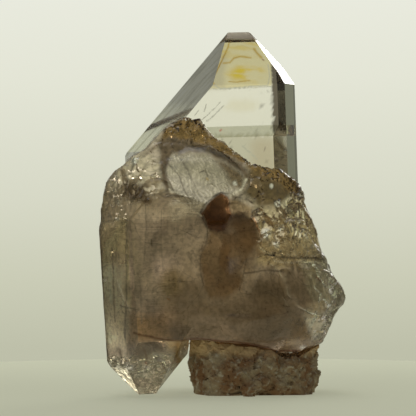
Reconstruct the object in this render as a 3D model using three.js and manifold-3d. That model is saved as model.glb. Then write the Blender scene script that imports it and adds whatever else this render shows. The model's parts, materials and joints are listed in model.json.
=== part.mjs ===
// Amethyst cluster: a tall clear quartz crystal in a mass of etched, smoky-lilac crystals grown together,
// on a base of stained rock. Millimetres, +Z up, +X to the right, -Y towards the viewer.
// The origin is the middle of the footprint, at the level that the cluster rests on.
import * as THREE from "three";
import { ConvexGeometry } from "three/addons/geometries/ConvexGeometry.js";
import { mergeVertices } from "three/addons/utils/BufferGeometryUtils.js";
import Module from "manifold-3d";

const wasm = await Module();
wasm.setup();

// Quartz: six walls stand round the long axis, and each end face is tilted TIP_SLOPE degrees up from them.
const FACES_ROUND = 6;
const FACE_STEP = 360 / FACES_ROUND;
const TIP_SLOPE = 38.2;

// A crystal's walls are distances from its axis, and run round from the face at the front.
// Its tips and feet are the heights on the axis at which each end face would meet it.
const SPIRE = {
  origin: [4.7, 3, 0],
  turn: 10,
  leanLeft: 2,
  leanBack: 0,
  walls: [7.15, 8.8, 6.2, 2, 17.2, 16.85],
  tips: [59.6, 61.7, 61.5, 59.6, 61.5, 61.6],
  feet: [-2, 1, 3, -1, 2, 1],
};
// Lower down, the spire's back face stands out by one more step of growth.
const BACK_STEP = { side: 3, wall: 3.4, tip: 46.5 };
const COLUMN = {
  origin: [-9.4, -4, 0],
  turn: 8,
  leanLeft: 3.6,
  leanBack: 0,
  walls: [9, 10.8, 9, 8.5, 7.4, 8.7],
  tips: [43, 44, 42, 41, 37.4, 39.6],
  feet: [-2.3, 0.9, 3.7, 3.1, -3.3, -5.9],
};

// The column's top is built up of thinner crystals that stand a step higher each, parallel to it.
const TERRACE = { count: 5, inset: 0.7, rise: 1.9, foot: 14 };

// The overgrowth that laps over the foot of the spire, seen from the front: [x, z] round its outline,
// along its broken upper edge first.
const RIM = [
  [-19.8, 29.4], [-19.3, 32.6], [-18.3, 35.4], [-16.2, 37.2], [-14.9, 38.5], [-12.6, 39.7], [-9.9, 42.5],
  [-8.8, 43.8], [-6.1, 44.9], [-3.7, 44.9], [-2.8, 43.3], [-1.7, 41.7], [0, 40.8], [2.8, 38.5], [4.4, 37.2],
  [6.4, 36.7], [9.5, 36.1], [12, 34.7], [12.7, 30.6],
];
const RIM_FOOT = [[11, 12], [-14, 12], [-17.2, 19], [-19.3, 26]];
const RIM_FRONT = -12.6;
const RIM_BACK = 2;
// Each cut is the direction in which it takes off what lies beyond it, and a point on it.
const RIM_CUTS = [
  [[0.05, -0.93, 0.36], [-8, -12.1, 30]],
  [[0.12, -0.99, 0.05], [-2, -11.8, 28]],
  [[0.75, -0.6, 0.25], [9, -9, 32]],
  [[-0.79, -0.61, 0.05], [-20, -6.5, 26]],
  [[-0.93, 0.37, 0.05], [-20, -6.5, 26]],
  [[0, -0.75, 0.66], [-5, -7.2, 43]],
];

// The dome of curved growth at the top of the front, and the rings that step up on it.
const DOME = { centre: [-4.2, -8.4, 34.2], radii: [8.4, 4.2, 6.2], turn: 12 };
const DOME_RING = { count: 4, shrink: 0.14, forward: 0.62, drift: [-0.5, 0.4] };

// The deep broken hollow under the dome, seen from the front, and the shallow dished break below it.
const HOLLOW = [
  [-3.4, 29.2], [-2, 31.4], [-0.2, 32.6], [0.8, 31.7], [0.6, 30.5], [1.3, 29.4], [0.2, 27.8], [-2.6, 27.6],
];
const HOLLOW_FLOOR = -7.6;
const DISH = { centre: [0.5, -14, 23.6], radii: [3.3, 3.6, 6.4] };

// The etched mass at the right, seen from the front: [x, z] round its outline.
const FLANK_OUTLINE = [
  [-6, 33], [8, 35.5], [12.3, 34], [13, 32.6], [12.9, 30.9], [14.7, 27.5], [15.5, 25.2], [15.8, 23.6],
  [16.9, 22.1], [17.5, 19.2], [18, 18.2], [19.4, 17.1], [20.1, 15.3], [18.8, 13.9], [16.9, 10.9], [16, 8.6],
  [12.5, 7], [9.6, 6.8], [7.3, 7.8], [5.2, 8.4], [2, 8.8], [-4, 9.4], [-8, 9.2],
];
const FLANK_FRONT = -11.5;
const FLANK_BACK = 9;
const FLANK_CUTS = [
  [[0.12, -0.98, 0.14], [4, -11, 20]],
  [[0.66, -0.74, 0.12], [14, -8.2, 16]],
  [[0.3, -0.7, 0.65], [8, -8.7, 31]],
  [[0.3, -0.75, -0.55], [8, -9.7, 11]],
  [[0.7, 0.7, 0.15], [14, 5.6, 18]],
  [[0.1, 0.8, 0.6], [8, 6.4, 28]],
  [[0.2, 0.9, -0.35], [8, 7.8, 12]],
];

// Level steps across the front of the etched mass: each one's outline, and how far it stands out.
const STEPS = [
  { outline: [[2.6, 27.5], [12.6, 28.4], [14.8, 24.2], [16, 22.6], [6.8, 23.1], [5.4, 24.6]], proud: 0.9 },
  { outline: [[8.4, 24.6], [15.2, 24.4], [17, 21.4], [8.4, 22.2]], proud: 0.5 },
  { outline: [[3.4, 24], [9.2, 23], [9.6, 20.2], [3.4, 20]], proud: 0.45 },
  { outline: [[9, 20.4], [17, 20.2], [19.6, 17.2], [19.6, 14.6], [15.4, 13], [11, 15]], proud: 0.6 },
  { outline: [[-1, 13.4], [9, 13], [12, 10.4], [8, 8.6], [1, 9.6]], proud: 0.35 },
];

// The lower mass behind: the spire's broken foot and what has grown round it.
const REAR_OUTLINE = [
  [-15.4, 13], [-16.4, 24], [-12, 31], [-2, 33.5], [7, 31], [13.6, 24.5], [14.6, 14], [11.5, 7.2], [-6.5, 9.2],
];
const REAR_FRONT = -4;
const REAR_BACK = 9.4;
const REAR_CUTS = [
  [[0.2, 0.9, 0.3], [4, 8.6, 20]],
  [[-0.4, 0.85, 0.2], [-10, 7, 20]],
  [[0, 0.8, -0.6], [0, 7.8, 12]],
  [[-0.8, 0.4, -0.3], [-14.5, 4, 16]],
  [[0.8, 0.5, 0.3], [12, 6.5, 22]],
];

// Smaller crystals that grow out of the mass behind, each with its half width and its length.
const REAR_CRYSTALS = [
  { origin: [-6.4, 3, 17], turn: 25, leanLeft: 16, leanBack: 22, girth: 4.4, length: 13 },
  { origin: [6.5, 3, 15], turn: 5, leanLeft: -18, leanBack: 30, girth: 3.9, length: 12 },
  { origin: [0.5, 3, 13], turn: 40, leanLeft: 2, leanBack: 48, girth: 3.2, length: 9 },
];
const UNEVEN_WALLS = [1, 0.8, 1.1, 0.9, 1.05, 0.85];
const UNEVEN_TIPS = [1, 1.05, 0.95, 1.02, 1.08, 0.97];

// Blunt crystals, all lying the same way, that break up the etched mass into steps, as rows along a line.
// Each row gives its ends as [x, y, z], how its crystals' long axes lean left, how many there are,
// the limits of their size and how far they stray from the line.
const STUD_ROWS = [
  { from: [10.8, -6.2, 31.4], to: [14, -5.4, 23.6], lean: -96, count: 8, size: [1.4, 2.2], spread: 1.6 },
  { from: [10.8, -1, 31.8], to: [14.6, -1, 22.4], lean: -96, count: 8, size: [1.4, 2.2], spread: 1.6 },
  { from: [10.6, 4, 30], to: [14.2, 4, 18], lean: -96, count: 8, size: [1.6, 2.6], spread: 2 },
  { from: [14.4, -4, 21.6], to: [16.8, -2, 16.8], lean: -96, count: 8, size: [1.3, 2], spread: 2 },
  { from: [16.2, -2, 15.4], to: [14, -3, 10.6], lean: -104, count: 8, size: [1.2, 2], spread: 2 },
  { from: [3.4, -9.4, 31.4], to: [12.4, -8.2, 27], lean: -96, count: 12, size: [1, 2], spread: 2.2 },
  { from: [5.4, -10.2, 28.6], to: [13, -8.6, 23.6], lean: -96, count: 12, size: [0.9, 1.8], spread: 2 },
  { from: [-14.6, -8.6, 37.4], to: [-9, -6.4, 42], lean: 4, count: 7, size: [0.9, 1.5], spread: 0.8 },
  { from: [-8, -5.6, 43.6], to: [-3.6, -4.6, 43.6], lean: 2, count: 6, size: [0.7, 1.2], spread: 0.5 },
  { from: [-2.6, -5.2, 41.4], to: [5, -4.2, 36.2], lean: 2, count: 9, size: [0.7, 1.3], spread: 0.5 },
  { from: [6, -4.4, 35.8], to: [11.6, -3.6, 34.4], lean: 0, count: 6, size: [0.7, 1.2], spread: 0.5 },
];
const STUD_TURN = 22;
// How uneven they are, as shares of their size, and how many degrees they stray from lying the same way.
const STUD = { walls: [0.6, 1], tips: [0.8, 1.2], feet: [-1.5, -1], sway: 4, place: [0.2, 0.8] };

// The seam between quartz and rock, seen from the front: [x, z] from left to right under the quartz.
// The rock base starts a crack's width under it, and its sides run down to the flat cut that it rests on.
const SEAM = [
  [-5.2, 9.2], [-4, 9.1], [-0.1, 8.8], [2, 8.5], [5.2, 8.1], [7.3, 7.5], [9.6, 6.5], [12.5, 6.7], [15.9, 8.3],
];
const CRACK = 0.35;
const BASE_RIGHT = [[15.7, 7], [15.5, 5.5], [14.6, 0]];
const BASE_LEFT = [[-4.2, 0], [-5.6, 4.6]];
const BASE_FRONT = -9.5;
const BASE_BACK = 9;
const BASE_CUTS = [
  [[0.15, -0.9, 0.3], [4, -8.8, 5]],
  [[0.1, -0.9, -0.4], [4, -8.6, 3]],
  [[0.7, -0.7, 0.1], [12.4, -6.4, 4]],
  [[0.8, 0.5, -0.2], [13.4, 5.6, 4]],
  [[0.2, 0.9, 0.1], [8, 8.2, 4]],
  [[-0.6, 0.8, -0.1], [-1.6, 6.8, 4]],
  [[-0.8, -0.5, -0.1], [-4.2, -5.6, 4]],
];

// Grains that stand out of the rock's sides, in a ring round its middle, each sunk by a share of its size.
const GRAINS = {
  count: 34,
  middle: [5.2, -0.2],
  ring: [9.8, 9.1],
  height: [0.6, 7],
  size: [1.3, 2.8],
  sunk: 0.4,
};
const GRAIN = { walls: [0.7, 1], tips: [1, 1.3], feet: [-1.3, -1], sway: 50, place: [-0.3, 0.3] };

const QUARTZ_COLOUR = 0xb6a9a6;
const ROCK_COLOUR = 0xa5825a;

// Half the size of a body that reaches well past the whole cluster.
const clear = 60;

const radians = THREE.MathUtils.degToRad;

// A direction at a bearing, measured from the viewer's side (-Y) towards +X, and so many degrees up from level.
function direction(bearing, up = 0) {
  const level = Math.cos(radians(up));
  return new THREE.Vector3(
    level * Math.sin(radians(bearing)),
    -level * Math.cos(radians(bearing)),
    Math.sin(radians(up)),
  );
}

// Numbers between 0 and 1 that are the same in every run.
function scatter(seed) {
  const modulus = 2147483647;
  let state = seed;
  return (low = 0, high = 1) => {
    state = (state * 16807) % modulus;
    return low + ((high - low) * state) / modulus;
  };
}

// A closed geometry as a solid that can be joined and cut.
function solidOf(geometry) {
  geometry.deleteAttribute("normal");
  geometry.deleteAttribute("uv");
  const merged = mergeVertices(geometry, 1e-4);
  return new wasm.Manifold(
    new wasm.Mesh({
      numProp: 3,
      vertProperties: merged.attributes.position.array,
      triVerts: new Uint32Array(merged.index.array),
    }),
  );
}

// The convex geometry inside a list of planes: its corners are where three planes meet inside all the others.
function insidePlanes(planes) {
  const slack = 1e-6;
  const corners = [];
  const cross = (a, b) => new THREE.Vector3().crossVectors(a.normal, b.normal);
  for (let i = 0; i < planes.length; i++) {
    for (let j = i + 1; j < planes.length; j++) {
      for (let k = j + 1; k < planes.length; k++) {
        const [a, b, c] = [planes[i], planes[j], planes[k]];
        const spread = a.normal.dot(cross(b, c));
        if (Math.abs(spread) < slack) continue;
        const corner = cross(b, c)
          .multiplyScalar(a.reach)
          .addScaledVector(cross(c, a), b.reach)
          .addScaledVector(cross(a, b), c.reach)
          .divideScalar(spread);
        const inside = planes.every((plane) => plane.normal.dot(corner) <= plane.reach + slack);
        const known = corners.some((other) => other.distanceTo(corner) < 1e-4);
        if (inside && !known) corners.push(corner);
      }
    }
  }
  return new ConvexGeometry(corners);
}

// A quartz crystal with six walls and a pointed end at both ends, leaned and set down at its origin.
function crystal({ origin, turn, leanLeft, leanBack, walls, tips, feet }) {
  const planes = [];
  const endShare = Math.sin(radians(TIP_SLOPE));
  for (let side = 0; side < FACES_ROUND; side++) {
    const bearing = turn + side * FACE_STEP;
    planes.push({ normal: direction(bearing), reach: walls[side] });
    planes.push({ normal: direction(bearing, TIP_SLOPE), reach: tips[side] * endShare });
    planes.push({ normal: direction(bearing, -TIP_SLOPE), reach: -feet[side] * endShare });
  }
  const geometry = insidePlanes(planes);
  geometry.rotateX(radians(-leanBack));
  geometry.rotateY(radians(-leanLeft));
  geometry.translate(...origin);
  return solidOf(geometry);
}

// An outline of [x, z] points, carried from front to back.
function slab(outline, front, back) {
  const shape = new THREE.Shape(outline.map(([x, z]) => new THREE.Vector2(x, z)));
  const geometry = new THREE.ExtrudeGeometry(shape, { depth: back - front, bevelEnabled: false });
  geometry.rotateX(Math.PI / 2);
  geometry.translate(0, back, 0);
  return solidOf(geometry);
}

// The big block that is left of space by cuts, each a direction and a point that the cut goes through,
// with every cut moved outwards by proud.
function cutBlock(cuts, proud = 0) {
  const planes = cuts.map(([normal, point]) => {
    const unit = new THREE.Vector3(...normal).normalize();
    return { normal: unit, reach: unit.dot(new THREE.Vector3(...point)) + proud };
  });
  for (const axis of [[1, 0, 0], [0, 1, 0], [0, 0, 1]]) {
    const along = new THREE.Vector3(...axis);
    planes.push({ normal: along, reach: clear }, { normal: along.clone().negate(), reach: clear });
  }
  return solidOf(insidePlanes(planes));
}

// A round lump with flat facets, its centre, its three radii and its turn about Y given.
function lump(centre, radii, turn = 0) {
  const roundness = 2;
  const geometry = new THREE.IcosahedronGeometry(1, roundness);
  geometry.scale(...radii);
  geometry.rotateY(radians(turn));
  geometry.translate(...centre);
  return solidOf(geometry);
}

// The distances of a small crystal's walls, tips and feet, each a random share of its size.
function unevenFaces({ walls, tips, feet }, reach, random) {
  const shares = (limits) => Array.from({ length: FACES_ROUND }, () => reach * random(...limits));
  return { walls: shares(walls), tips: shares(tips), feet: shares(feet) };
}

// A row of small, uneven crystals scattered about the line between two points.
function studs({ from, to, lean, count, size, spread }, random) {
  const start = new THREE.Vector3(...from);
  const end = new THREE.Vector3(...to);
  const row = [];
  for (let place = 0; place < count; place++) {
    const middle = start.clone().lerp(end, (place + random(...STUD.place)) / count);
    const offset = () => random(-spread, spread) / 2;
    middle.add(new THREE.Vector3(offset() / 2, offset(), offset()));
    const reach = random(...size);
    row.push(
      crystal({
        origin: middle.toArray(),
        turn: STUD_TURN,
        leanLeft: lean + random(-STUD.sway, STUD.sway),
        leanBack: random(-STUD.sway, STUD.sway),
        ...unevenFaces(STUD, reach, random),
      }),
    );
  }
  return row;
}

const withSide = (values, value) => values.map((old, side) => (side === BACK_STEP.side ? value : old));
const spire = crystal(SPIRE).add(
  crystal({
    ...SPIRE,
    walls: withSide(SPIRE.walls, BACK_STEP.wall),
    tips: withSide(SPIRE.tips, BACK_STEP.tip),
  }),
);
const rimSlab = slab([...RIM, ...RIM_FOOT], -clear, clear);

let column = crystal(COLUMN);
for (let step = 1; step <= TERRACE.count; step++) {
  const raised = crystal({
    ...COLUMN,
    walls: COLUMN.walls.map((wall) => wall - step * TERRACE.inset),
    tips: COLUMN.tips.map((tip) => tip + step * TERRACE.rise),
    feet: COLUMN.feet.map(() => TERRACE.foot),
  });
  column = column.add(raised.intersect(rimSlab));
}

const ledge = slab([...RIM, ...RIM_FOOT], RIM_FRONT, RIM_BACK).intersect(cutBlock(RIM_CUTS));

const dome = [];
for (let ring = 0; ring < DOME_RING.count; ring++) {
  const share = 1 - ring * DOME_RING.shrink;
  const [x, y, z] = DOME.centre;
  const [driftX, driftZ] = DOME_RING.drift;
  dome.push(
    lump(
      [x + ring * driftX, y - ring * DOME_RING.forward, z + ring * driftZ],
      DOME.radii.map((radius) => radius * share),
      DOME.turn,
    ),
  );
}

const flank = slab(FLANK_OUTLINE, FLANK_FRONT, FLANK_BACK).intersect(cutBlock(FLANK_CUTS));
const steps = STEPS.map(({ outline, proud }) =>
  slab(outline, -clear, 0).intersect(cutBlock(FLANK_CUTS, proud)),
);
const rear = slab(REAR_OUTLINE, REAR_FRONT, REAR_BACK).intersect(cutBlock(REAR_CUTS));

const rearCrystals = REAR_CRYSTALS.map(({ girth, length, ...place }) =>
  crystal({
    ...place,
    walls: UNEVEN_WALLS.map((share) => girth * share),
    tips: UNEVEN_TIPS.map((share) => length * share),
    feet: UNEVEN_TIPS.map((share) => -girth * share),
  }),
);

const studRandom = scatter(41);
const allStuds = STUD_ROWS.flatMap((row) => studs(row, studRandom));

const joined = [spire, column, ledge, ...dome, flank, rear, ...rearCrystals, ...steps, ...allStuds];
let quartz = joined.reduce((whole, part) => whole.add(part));
quartz = quartz.subtract(slab(HOLLOW, -clear, HOLLOW_FLOOR)).subtract(lump(DISH.centre, DISH.radii));

// All the space below the seam and to the right of the base's left side is kept free of quartz.
const seamEnd = SEAM.at(-1)[1];
const roomForBase = [
  [SEAM[0][0] - CRACK, SEAM[0][1]],
  ...SEAM,
  [clear, seamEnd],
  [clear, -clear],
  ...BASE_LEFT.map(([x, z], place) => [x - CRACK, place ? z : -clear]),
];
quartz = quartz.subtract(slab(roomForBase, -clear, clear));

const seamBelow = SEAM.map(([x, z]) => [x, z - CRACK]);
const baseOutline = [...seamBelow, ...BASE_RIGHT, ...BASE_LEFT];
let base = slab(baseOutline, BASE_FRONT, BASE_BACK).intersect(cutBlock(BASE_CUTS));
const grainRandom = scatter(7);
for (let place = 0; place < GRAINS.count; place++) {
  const round = (2 * Math.PI * (place + grainRandom(...GRAIN.place))) / GRAINS.count;
  const reach = grainRandom(...GRAINS.size);
  const [ringX, ringY] = GRAINS.ring.map((radius) => radius - reach * GRAINS.sunk);
  base = base.add(
    crystal({
      origin: [
        GRAINS.middle[0] + ringX * Math.cos(round),
        GRAINS.middle[1] + ringY * Math.sin(round),
        grainRandom(...GRAINS.height),
      ],
      turn: grainRandom(0, FACE_STEP),
      leanLeft: grainRandom(-GRAIN.sway, GRAIN.sway),
      leanBack: grainRandom(-GRAIN.sway, GRAIN.sway),
      ...unevenFaces(GRAIN, reach, grainRandom),
    }),
  );
}
const roomUnderSeam = [...seamBelow, [clear, seamEnd - CRACK], [clear, 0], ...BASE_LEFT];
base = base.intersect(slab(roomUnderSeam, -clear, clear));

// A solid as a named, coloured piece of the cluster.
function piece(name, solid, material) {
  const { vertProperties, triVerts } = solid.getMesh();
  const geometry = new THREE.BufferGeometry();
  geometry.setAttribute("position", new THREE.BufferAttribute(vertProperties, 3));
  geometry.setIndex(new THREE.BufferAttribute(triVerts, 1));
  const mesh = new THREE.Mesh(geometry, material);
  mesh.name = name;
  return mesh;
}

const quartzMaterial = new THREE.MeshStandardMaterial({ color: QUARTZ_COLOUR, roughness: 0.1, metalness: 0 });
const rockMaterial = new THREE.MeshStandardMaterial({ color: ROCK_COLOUR, roughness: 0.9, metalness: 0 });

const cluster = new THREE.Group();
cluster.add(piece("crystal_cluster", quartz, quartzMaterial));
cluster.add(piece("matrix_base", base, rockMaterial));

const extent = new THREE.Box3().setFromObject(cluster);
const middle = extent.getCenter(new THREE.Vector3());
cluster.position.set(-middle.x, -middle.y, -extent.min.z);

export default cluster;
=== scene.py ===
# %% [markdown]
# # An amethyst cluster, lit from behind
#
# The object is a palm-sized quartz specimen: one clear crystal with a chisel-shaped tip stands in a mass of
# smoky-lilac crystals that have grown into each other and been etched, on a little stained rock. The solids
# come from the imported model. Here they get their fine surface and their glass, and what is locked inside
# them is painted on their faces.

# %% Load the imported model
import json
import bmesh
import bpy
import numpy as np
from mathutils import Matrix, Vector

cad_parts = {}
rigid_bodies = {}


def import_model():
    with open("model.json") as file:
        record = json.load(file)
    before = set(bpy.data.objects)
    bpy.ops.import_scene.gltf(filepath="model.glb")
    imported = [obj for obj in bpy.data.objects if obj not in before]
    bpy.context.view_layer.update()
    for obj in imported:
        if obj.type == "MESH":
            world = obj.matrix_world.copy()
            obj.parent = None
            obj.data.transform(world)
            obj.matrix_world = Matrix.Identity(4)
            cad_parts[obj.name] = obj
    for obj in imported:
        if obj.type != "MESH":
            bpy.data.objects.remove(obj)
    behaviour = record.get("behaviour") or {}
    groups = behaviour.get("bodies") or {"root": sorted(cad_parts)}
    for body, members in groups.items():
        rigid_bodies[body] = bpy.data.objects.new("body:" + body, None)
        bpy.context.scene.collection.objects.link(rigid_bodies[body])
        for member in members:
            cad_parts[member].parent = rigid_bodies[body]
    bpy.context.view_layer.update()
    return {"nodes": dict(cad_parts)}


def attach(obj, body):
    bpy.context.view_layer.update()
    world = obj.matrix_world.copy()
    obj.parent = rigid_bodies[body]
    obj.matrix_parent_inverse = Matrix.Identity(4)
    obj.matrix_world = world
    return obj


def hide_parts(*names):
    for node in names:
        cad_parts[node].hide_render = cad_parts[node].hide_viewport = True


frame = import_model()
MM = 0.001

# %% [markdown]
# ## The camera
#
# A mineral is photographed from far off with a long lens, so that its parallel edges stay parallel. A 200 mm
# lens on a 36 mm sensor, about 38 cm away, does the same. The camera looks level, at a point a little left of
# the middle, so that the cluster stands slightly to the right of the frame's centre.

# %% Place the camera
LENS = 200.0
SENSOR = 36.0
VIEW_WIDTH = 68.6 * MM  # how wide a strip the camera sees where the outline lies
VIEW_MIDDLE = (-2.4 * MM, 30.35 * MM)
OUTLINE_DEPTH = 1.5 * MM


def place_camera():
    """Its distance from the outline is the width seen times the lens over the sensor."""
    camera = bpy.data.cameras.new("camera")
    camera.lens = LENS
    camera.sensor_width = SENSOR
    camera.clip_start = 0.01
    camera.clip_end = 10.0
    holder = bpy.data.objects.new("camera", camera)
    bpy.context.scene.collection.objects.link(holder)
    distance = VIEW_WIDTH * LENS / SENSOR
    holder.location = (VIEW_MIDDLE[0], OUTLINE_DEPTH - distance, VIEW_MIDDLE[1])
    holder.rotation_euler = (np.pi / 2, 0, 0)
    bpy.context.scene.camera = holder
    return distance


print("camera distance mm:", round(place_camera() / MM))

# %% [markdown]
# ## Sums on shader sockets
#
# A pattern is a sum on numbers that change over the surface. One small class wraps a socket and gives it the
# usual operators, so `1 - mask` adds the Math node that works it out. Every other node comes from `node`,
# which takes the node's type, its settings and what goes into its sockets.

# %% The socket class
class Socket:
    """One output of a node, on which +, -, * and / add Math nodes."""

    def __init__(self, tree, out):
        self.tree, self.out = tree, out

    def node(self, kind, settings=None, output=0, **inputs):
        return add_node(self.tree, kind, settings, output, **inputs)

    def math(self, operation, other=None, flip=False):
        pair = (other, self) if flip else (self, other)
        values = {str(place): value for place, value in enumerate(pair) if value is not None}
        return self.node("ShaderNodeMath", {"operation": operation}, **values)

    def __add__(self, other): return self.math("ADD", other)
    def __radd__(self, other): return self.math("ADD", other, flip=True)
    def __sub__(self, other): return self.math("SUBTRACT", other)
    def __rsub__(self, other): return self.math("SUBTRACT", other, flip=True)
    def __mul__(self, other): return self.math("MULTIPLY", other)
    def __rmul__(self, other): return self.math("MULTIPLY", other, flip=True)
    def __truediv__(self, other): return self.math("DIVIDE", other)
    def __neg__(self): return self * -1.0

    def clip(self):
        return self.node("ShaderNodeClamp", Value=self)

    def between(self, low, high):
        """0 below low, 1 above high, with an S curve between them. It falls instead if low > high."""
        return self.node(
            "ShaderNodeMapRange",
            {"interpolation_type": "SMOOTHSTEP"},
            **{"Value": self, "From Min": low, "From Max": high},
        )


def add_node(tree, kind, settings=None, output=0, **inputs):
    """Adds a node, makes its settings, fills its sockets with values or links, and gives one output."""
    made = tree.nodes.new(kind)
    for name, value in (settings or {}).items():
        if name == "stops":
            ramp = made.color_ramp
            while len(ramp.elements) < len(value):
                ramp.elements.new(0.5)
            for element, (place, colour) in zip(ramp.elements, value):
                element.position, element.color = place, (*colour, 1.0)
        else:
            setattr(made, name, value)
    for name, value in inputs.items():
        socket = made.inputs[int(name) if name.isdigit() else name]
        if isinstance(value, Socket):
            tree.links.new(value.out, socket)
        else:
            socket.default_value = value
    return Socket(tree, made.outputs[output])


def mix(factor, first, second):
    """A colour that goes from the first to the second as the factor goes from 0 to 1."""
    tree = factor.tree
    made = tree.nodes.new("ShaderNodeMix")
    made.data_type = "RGBA"
    for socket, value in ((made.inputs[0], factor), (made.inputs[6], first), (made.inputs[7], second)):
        if isinstance(value, Socket):
            tree.links.new(value.out, socket)
        else:
            socket.default_value = (*value, 1.0)
    return Socket(tree, made.outputs[2])


def times(vector, amount):
    """A vector or a colour with every part multiplied by one number."""
    return vector.node("ShaderNodeVectorMath", {"operation": "SCALE"}, **{"0": vector, "Scale": amount})


def new_material(name):
    """An empty material, its tree, and the place on the piece in millimetres, as a vector and as x, y, z."""
    material = bpy.data.materials.new(name)
    material.use_nodes = True
    tree = material.node_tree
    tree.nodes.clear()
    place = times(add_node(tree, "ShaderNodeTexCoord", output="Object"), 1 / MM)
    parts = tree.nodes.new("ShaderNodeSeparateXYZ")
    tree.links.new(place.out, parts.inputs[0])
    return material, tree, place, [Socket(tree, out) for out in parts.outputs]


def stretched(place, x=1.0, y=1.0, z=1.0):
    """The place with each direction scaled, so that a pattern on it is drawn out the other way."""
    return place.node("ShaderNodeVectorMath", {"operation": "MULTIPLY"}, **{"0": place, "1": (x, y, z)})


def noise(place, size, detail=3.0, warp=0.0):
    """Cloudy values about 0.5, with lumps of roughly this size in millimetres."""
    return place.node(
        "ShaderNodeTexNoise",
        **{
            "Vector": place,
            "Scale": 1 / size,
            "Detail": detail,
            "Roughness": 0.55,
            "Distortion": warp,
        },
    )


def finish_material(material, tree, shader, volume=None):
    """Joins the surface, and the inside if there is one, to the output."""
    output = tree.nodes.new("ShaderNodeOutputMaterial")
    tree.links.new(shader.out, output.inputs["Surface"])
    if volume is not None:
        tree.links.new(volume.out, output.inputs["Volume"])
    print("material", material.name, "nodes:", len(tree.nodes))
    return material


# %% [markdown]
# ## Fine relief, worked out as arrays
#
# Etched quartz has two kinds of roughness. One is soft and rolling: random heights at the corners of a grid,
# blended between them. The other is crystalline: space is shared out among scattered seeds and each share is
# a little plane with a tilt of its own, which is what makes an etched surface glitter.

# %% Random fields on points
LAYERS = 3


def scramble(cells, seed):
    """A number from 0 to 1 for each whole-number cell, the same in every run, by mixing its bits."""
    mixed = cells[..., 0] * 73856093 ^ cells[..., 1] * 19349663 ^ cells[..., 2] * 83492791
    mixed = mixed ^ (seed * 2654435761)
    mixed = (mixed ^ (mixed >> 13)) * 1274126177 & 0xFFFFFFFF
    mixed = (mixed ^ (mixed >> 16)) * 2246822519 & 0xFFFFFFFF
    return ((mixed ^ (mixed >> 15)) & 0xFFFFFF) / 0xFFFFFF


def rolling(points, size, seed):
    """Heights from -1 to 1: a random value at each grid corner, blended with the S curve 3t^2 - 2t^3."""
    scaled = points / size
    corner = np.floor(scaled).astype(np.int64)
    part = scaled - corner
    part = part * part * (3 - 2 * part)
    height = np.zeros(len(points))
    for step in np.ndindex(2, 2, 2):
        share = np.prod(np.where(np.array(step) == 1, part, 1 - part), axis=1)
        height += share * scramble(corner + np.array(step), seed)
    return 2 * height - 1


def layered(points, size, seed):
    """Rolling heights, plus finer ones at half the size and half the height, plus finer ones once more."""
    height = sum(rolling(points, size / 2**layer, seed + layer) / 2**layer for layer in range(LAYERS))
    return height / (2 - 2.0 ** (1 - LAYERS))


def facets(points, size, seed, tilt):
    """Heights in size units: a point lies on its nearest seed's plane, which has its own height and tilt."""
    scaled = points / size
    home = np.floor(scaled).astype(np.int64)
    nearest = np.full(len(points), np.inf)
    height = np.zeros(len(points))
    for step in np.ndindex(3, 3, 3):
        cell = home + np.array(step) - 1
        offset = scaled - cell - np.stack([scramble(cell, seed + axis) for axis in range(3)], axis=1)
        distance = (offset**2).sum(axis=1)
        slope = np.stack([scramble(cell, seed + 3 + axis) * 2 - 1 for axis in range(3)], axis=1)
        plane = tilt * (offset * slope).sum(axis=1) + 0.5 * (scramble(cell, seed + 7) - 0.5)
        closer = distance < nearest
        nearest = np.where(closer, distance, nearest)
        height = np.where(closer, plane, height)
    return height


# %% [markdown]
# ## Reading and refining a solid
#
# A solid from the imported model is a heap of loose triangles. A copy of it is welded, its flat faces are put
# together again, and only the faces that will carry relief are cut up finely. A crystal's own faces are told
# apart by their directions: six walls and six tip faces, turned and leaned as the crystal stands.

# %% Helpers for meshes
SAME_PLACE = 0.002  # corners this close together, in millimetres, are one corner
FLAT_ANGLE = np.radians(0.3)  # triangles that meet at less than this are one flat face
MAX_ROUNDS = 40  # of halving; the last one finds nothing to cut


def to_mesh_object(name, places, faces):
    """A mesh object at the origin from arrays of places and faces, each face with as many corners."""
    mesh = bpy.data.meshes.new(name)
    mesh.from_pydata(places.tolist(), [], faces.tolist())
    made = bpy.data.objects.new(name, mesh)
    bpy.context.scene.collection.objects.link(made)
    return made


def weld(node):
    """A solid's corners in millimetres and its triangles, joined up, with its flat faces made whole."""
    work = bmesh.new()
    work.from_mesh(frame["nodes"][node].data)
    bmesh.ops.remove_doubles(work, verts=work.verts, dist=SAME_PLACE * MM)
    bmesh.ops.dissolve_limit(work, angle_limit=FLAT_ANGLE, verts=work.verts, edges=work.edges)
    bmesh.ops.triangulate(work, faces=work.faces, quad_method="BEAUTY", ngon_method="BEAUTY")
    work.verts.index_update()
    places = np.array([vertex.co for vertex in work.verts]) / MM
    triangles = np.array([[vertex.index for vertex in face.verts] for face in work.faces])
    work.free()
    return places, triangles


def triangle_normals(places, triangles):
    """Unit normals: the cross product of two sides, over its own length."""
    a, b, c = (places[triangles[:, corner]] for corner in range(3))
    across = np.cross(b - a, c - a)
    return across / np.maximum(np.linalg.norm(across, axis=1, keepdims=True), 1e-12)


def turned(triangles, middles, first):
    """Triangles and the middles of their edges, with the edge number first turned to the front."""
    order = (first[:, None] + np.arange(3)) % 3
    return np.take_along_axis(triangles, order, 1), np.take_along_axis(middles, order, 1)


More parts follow.
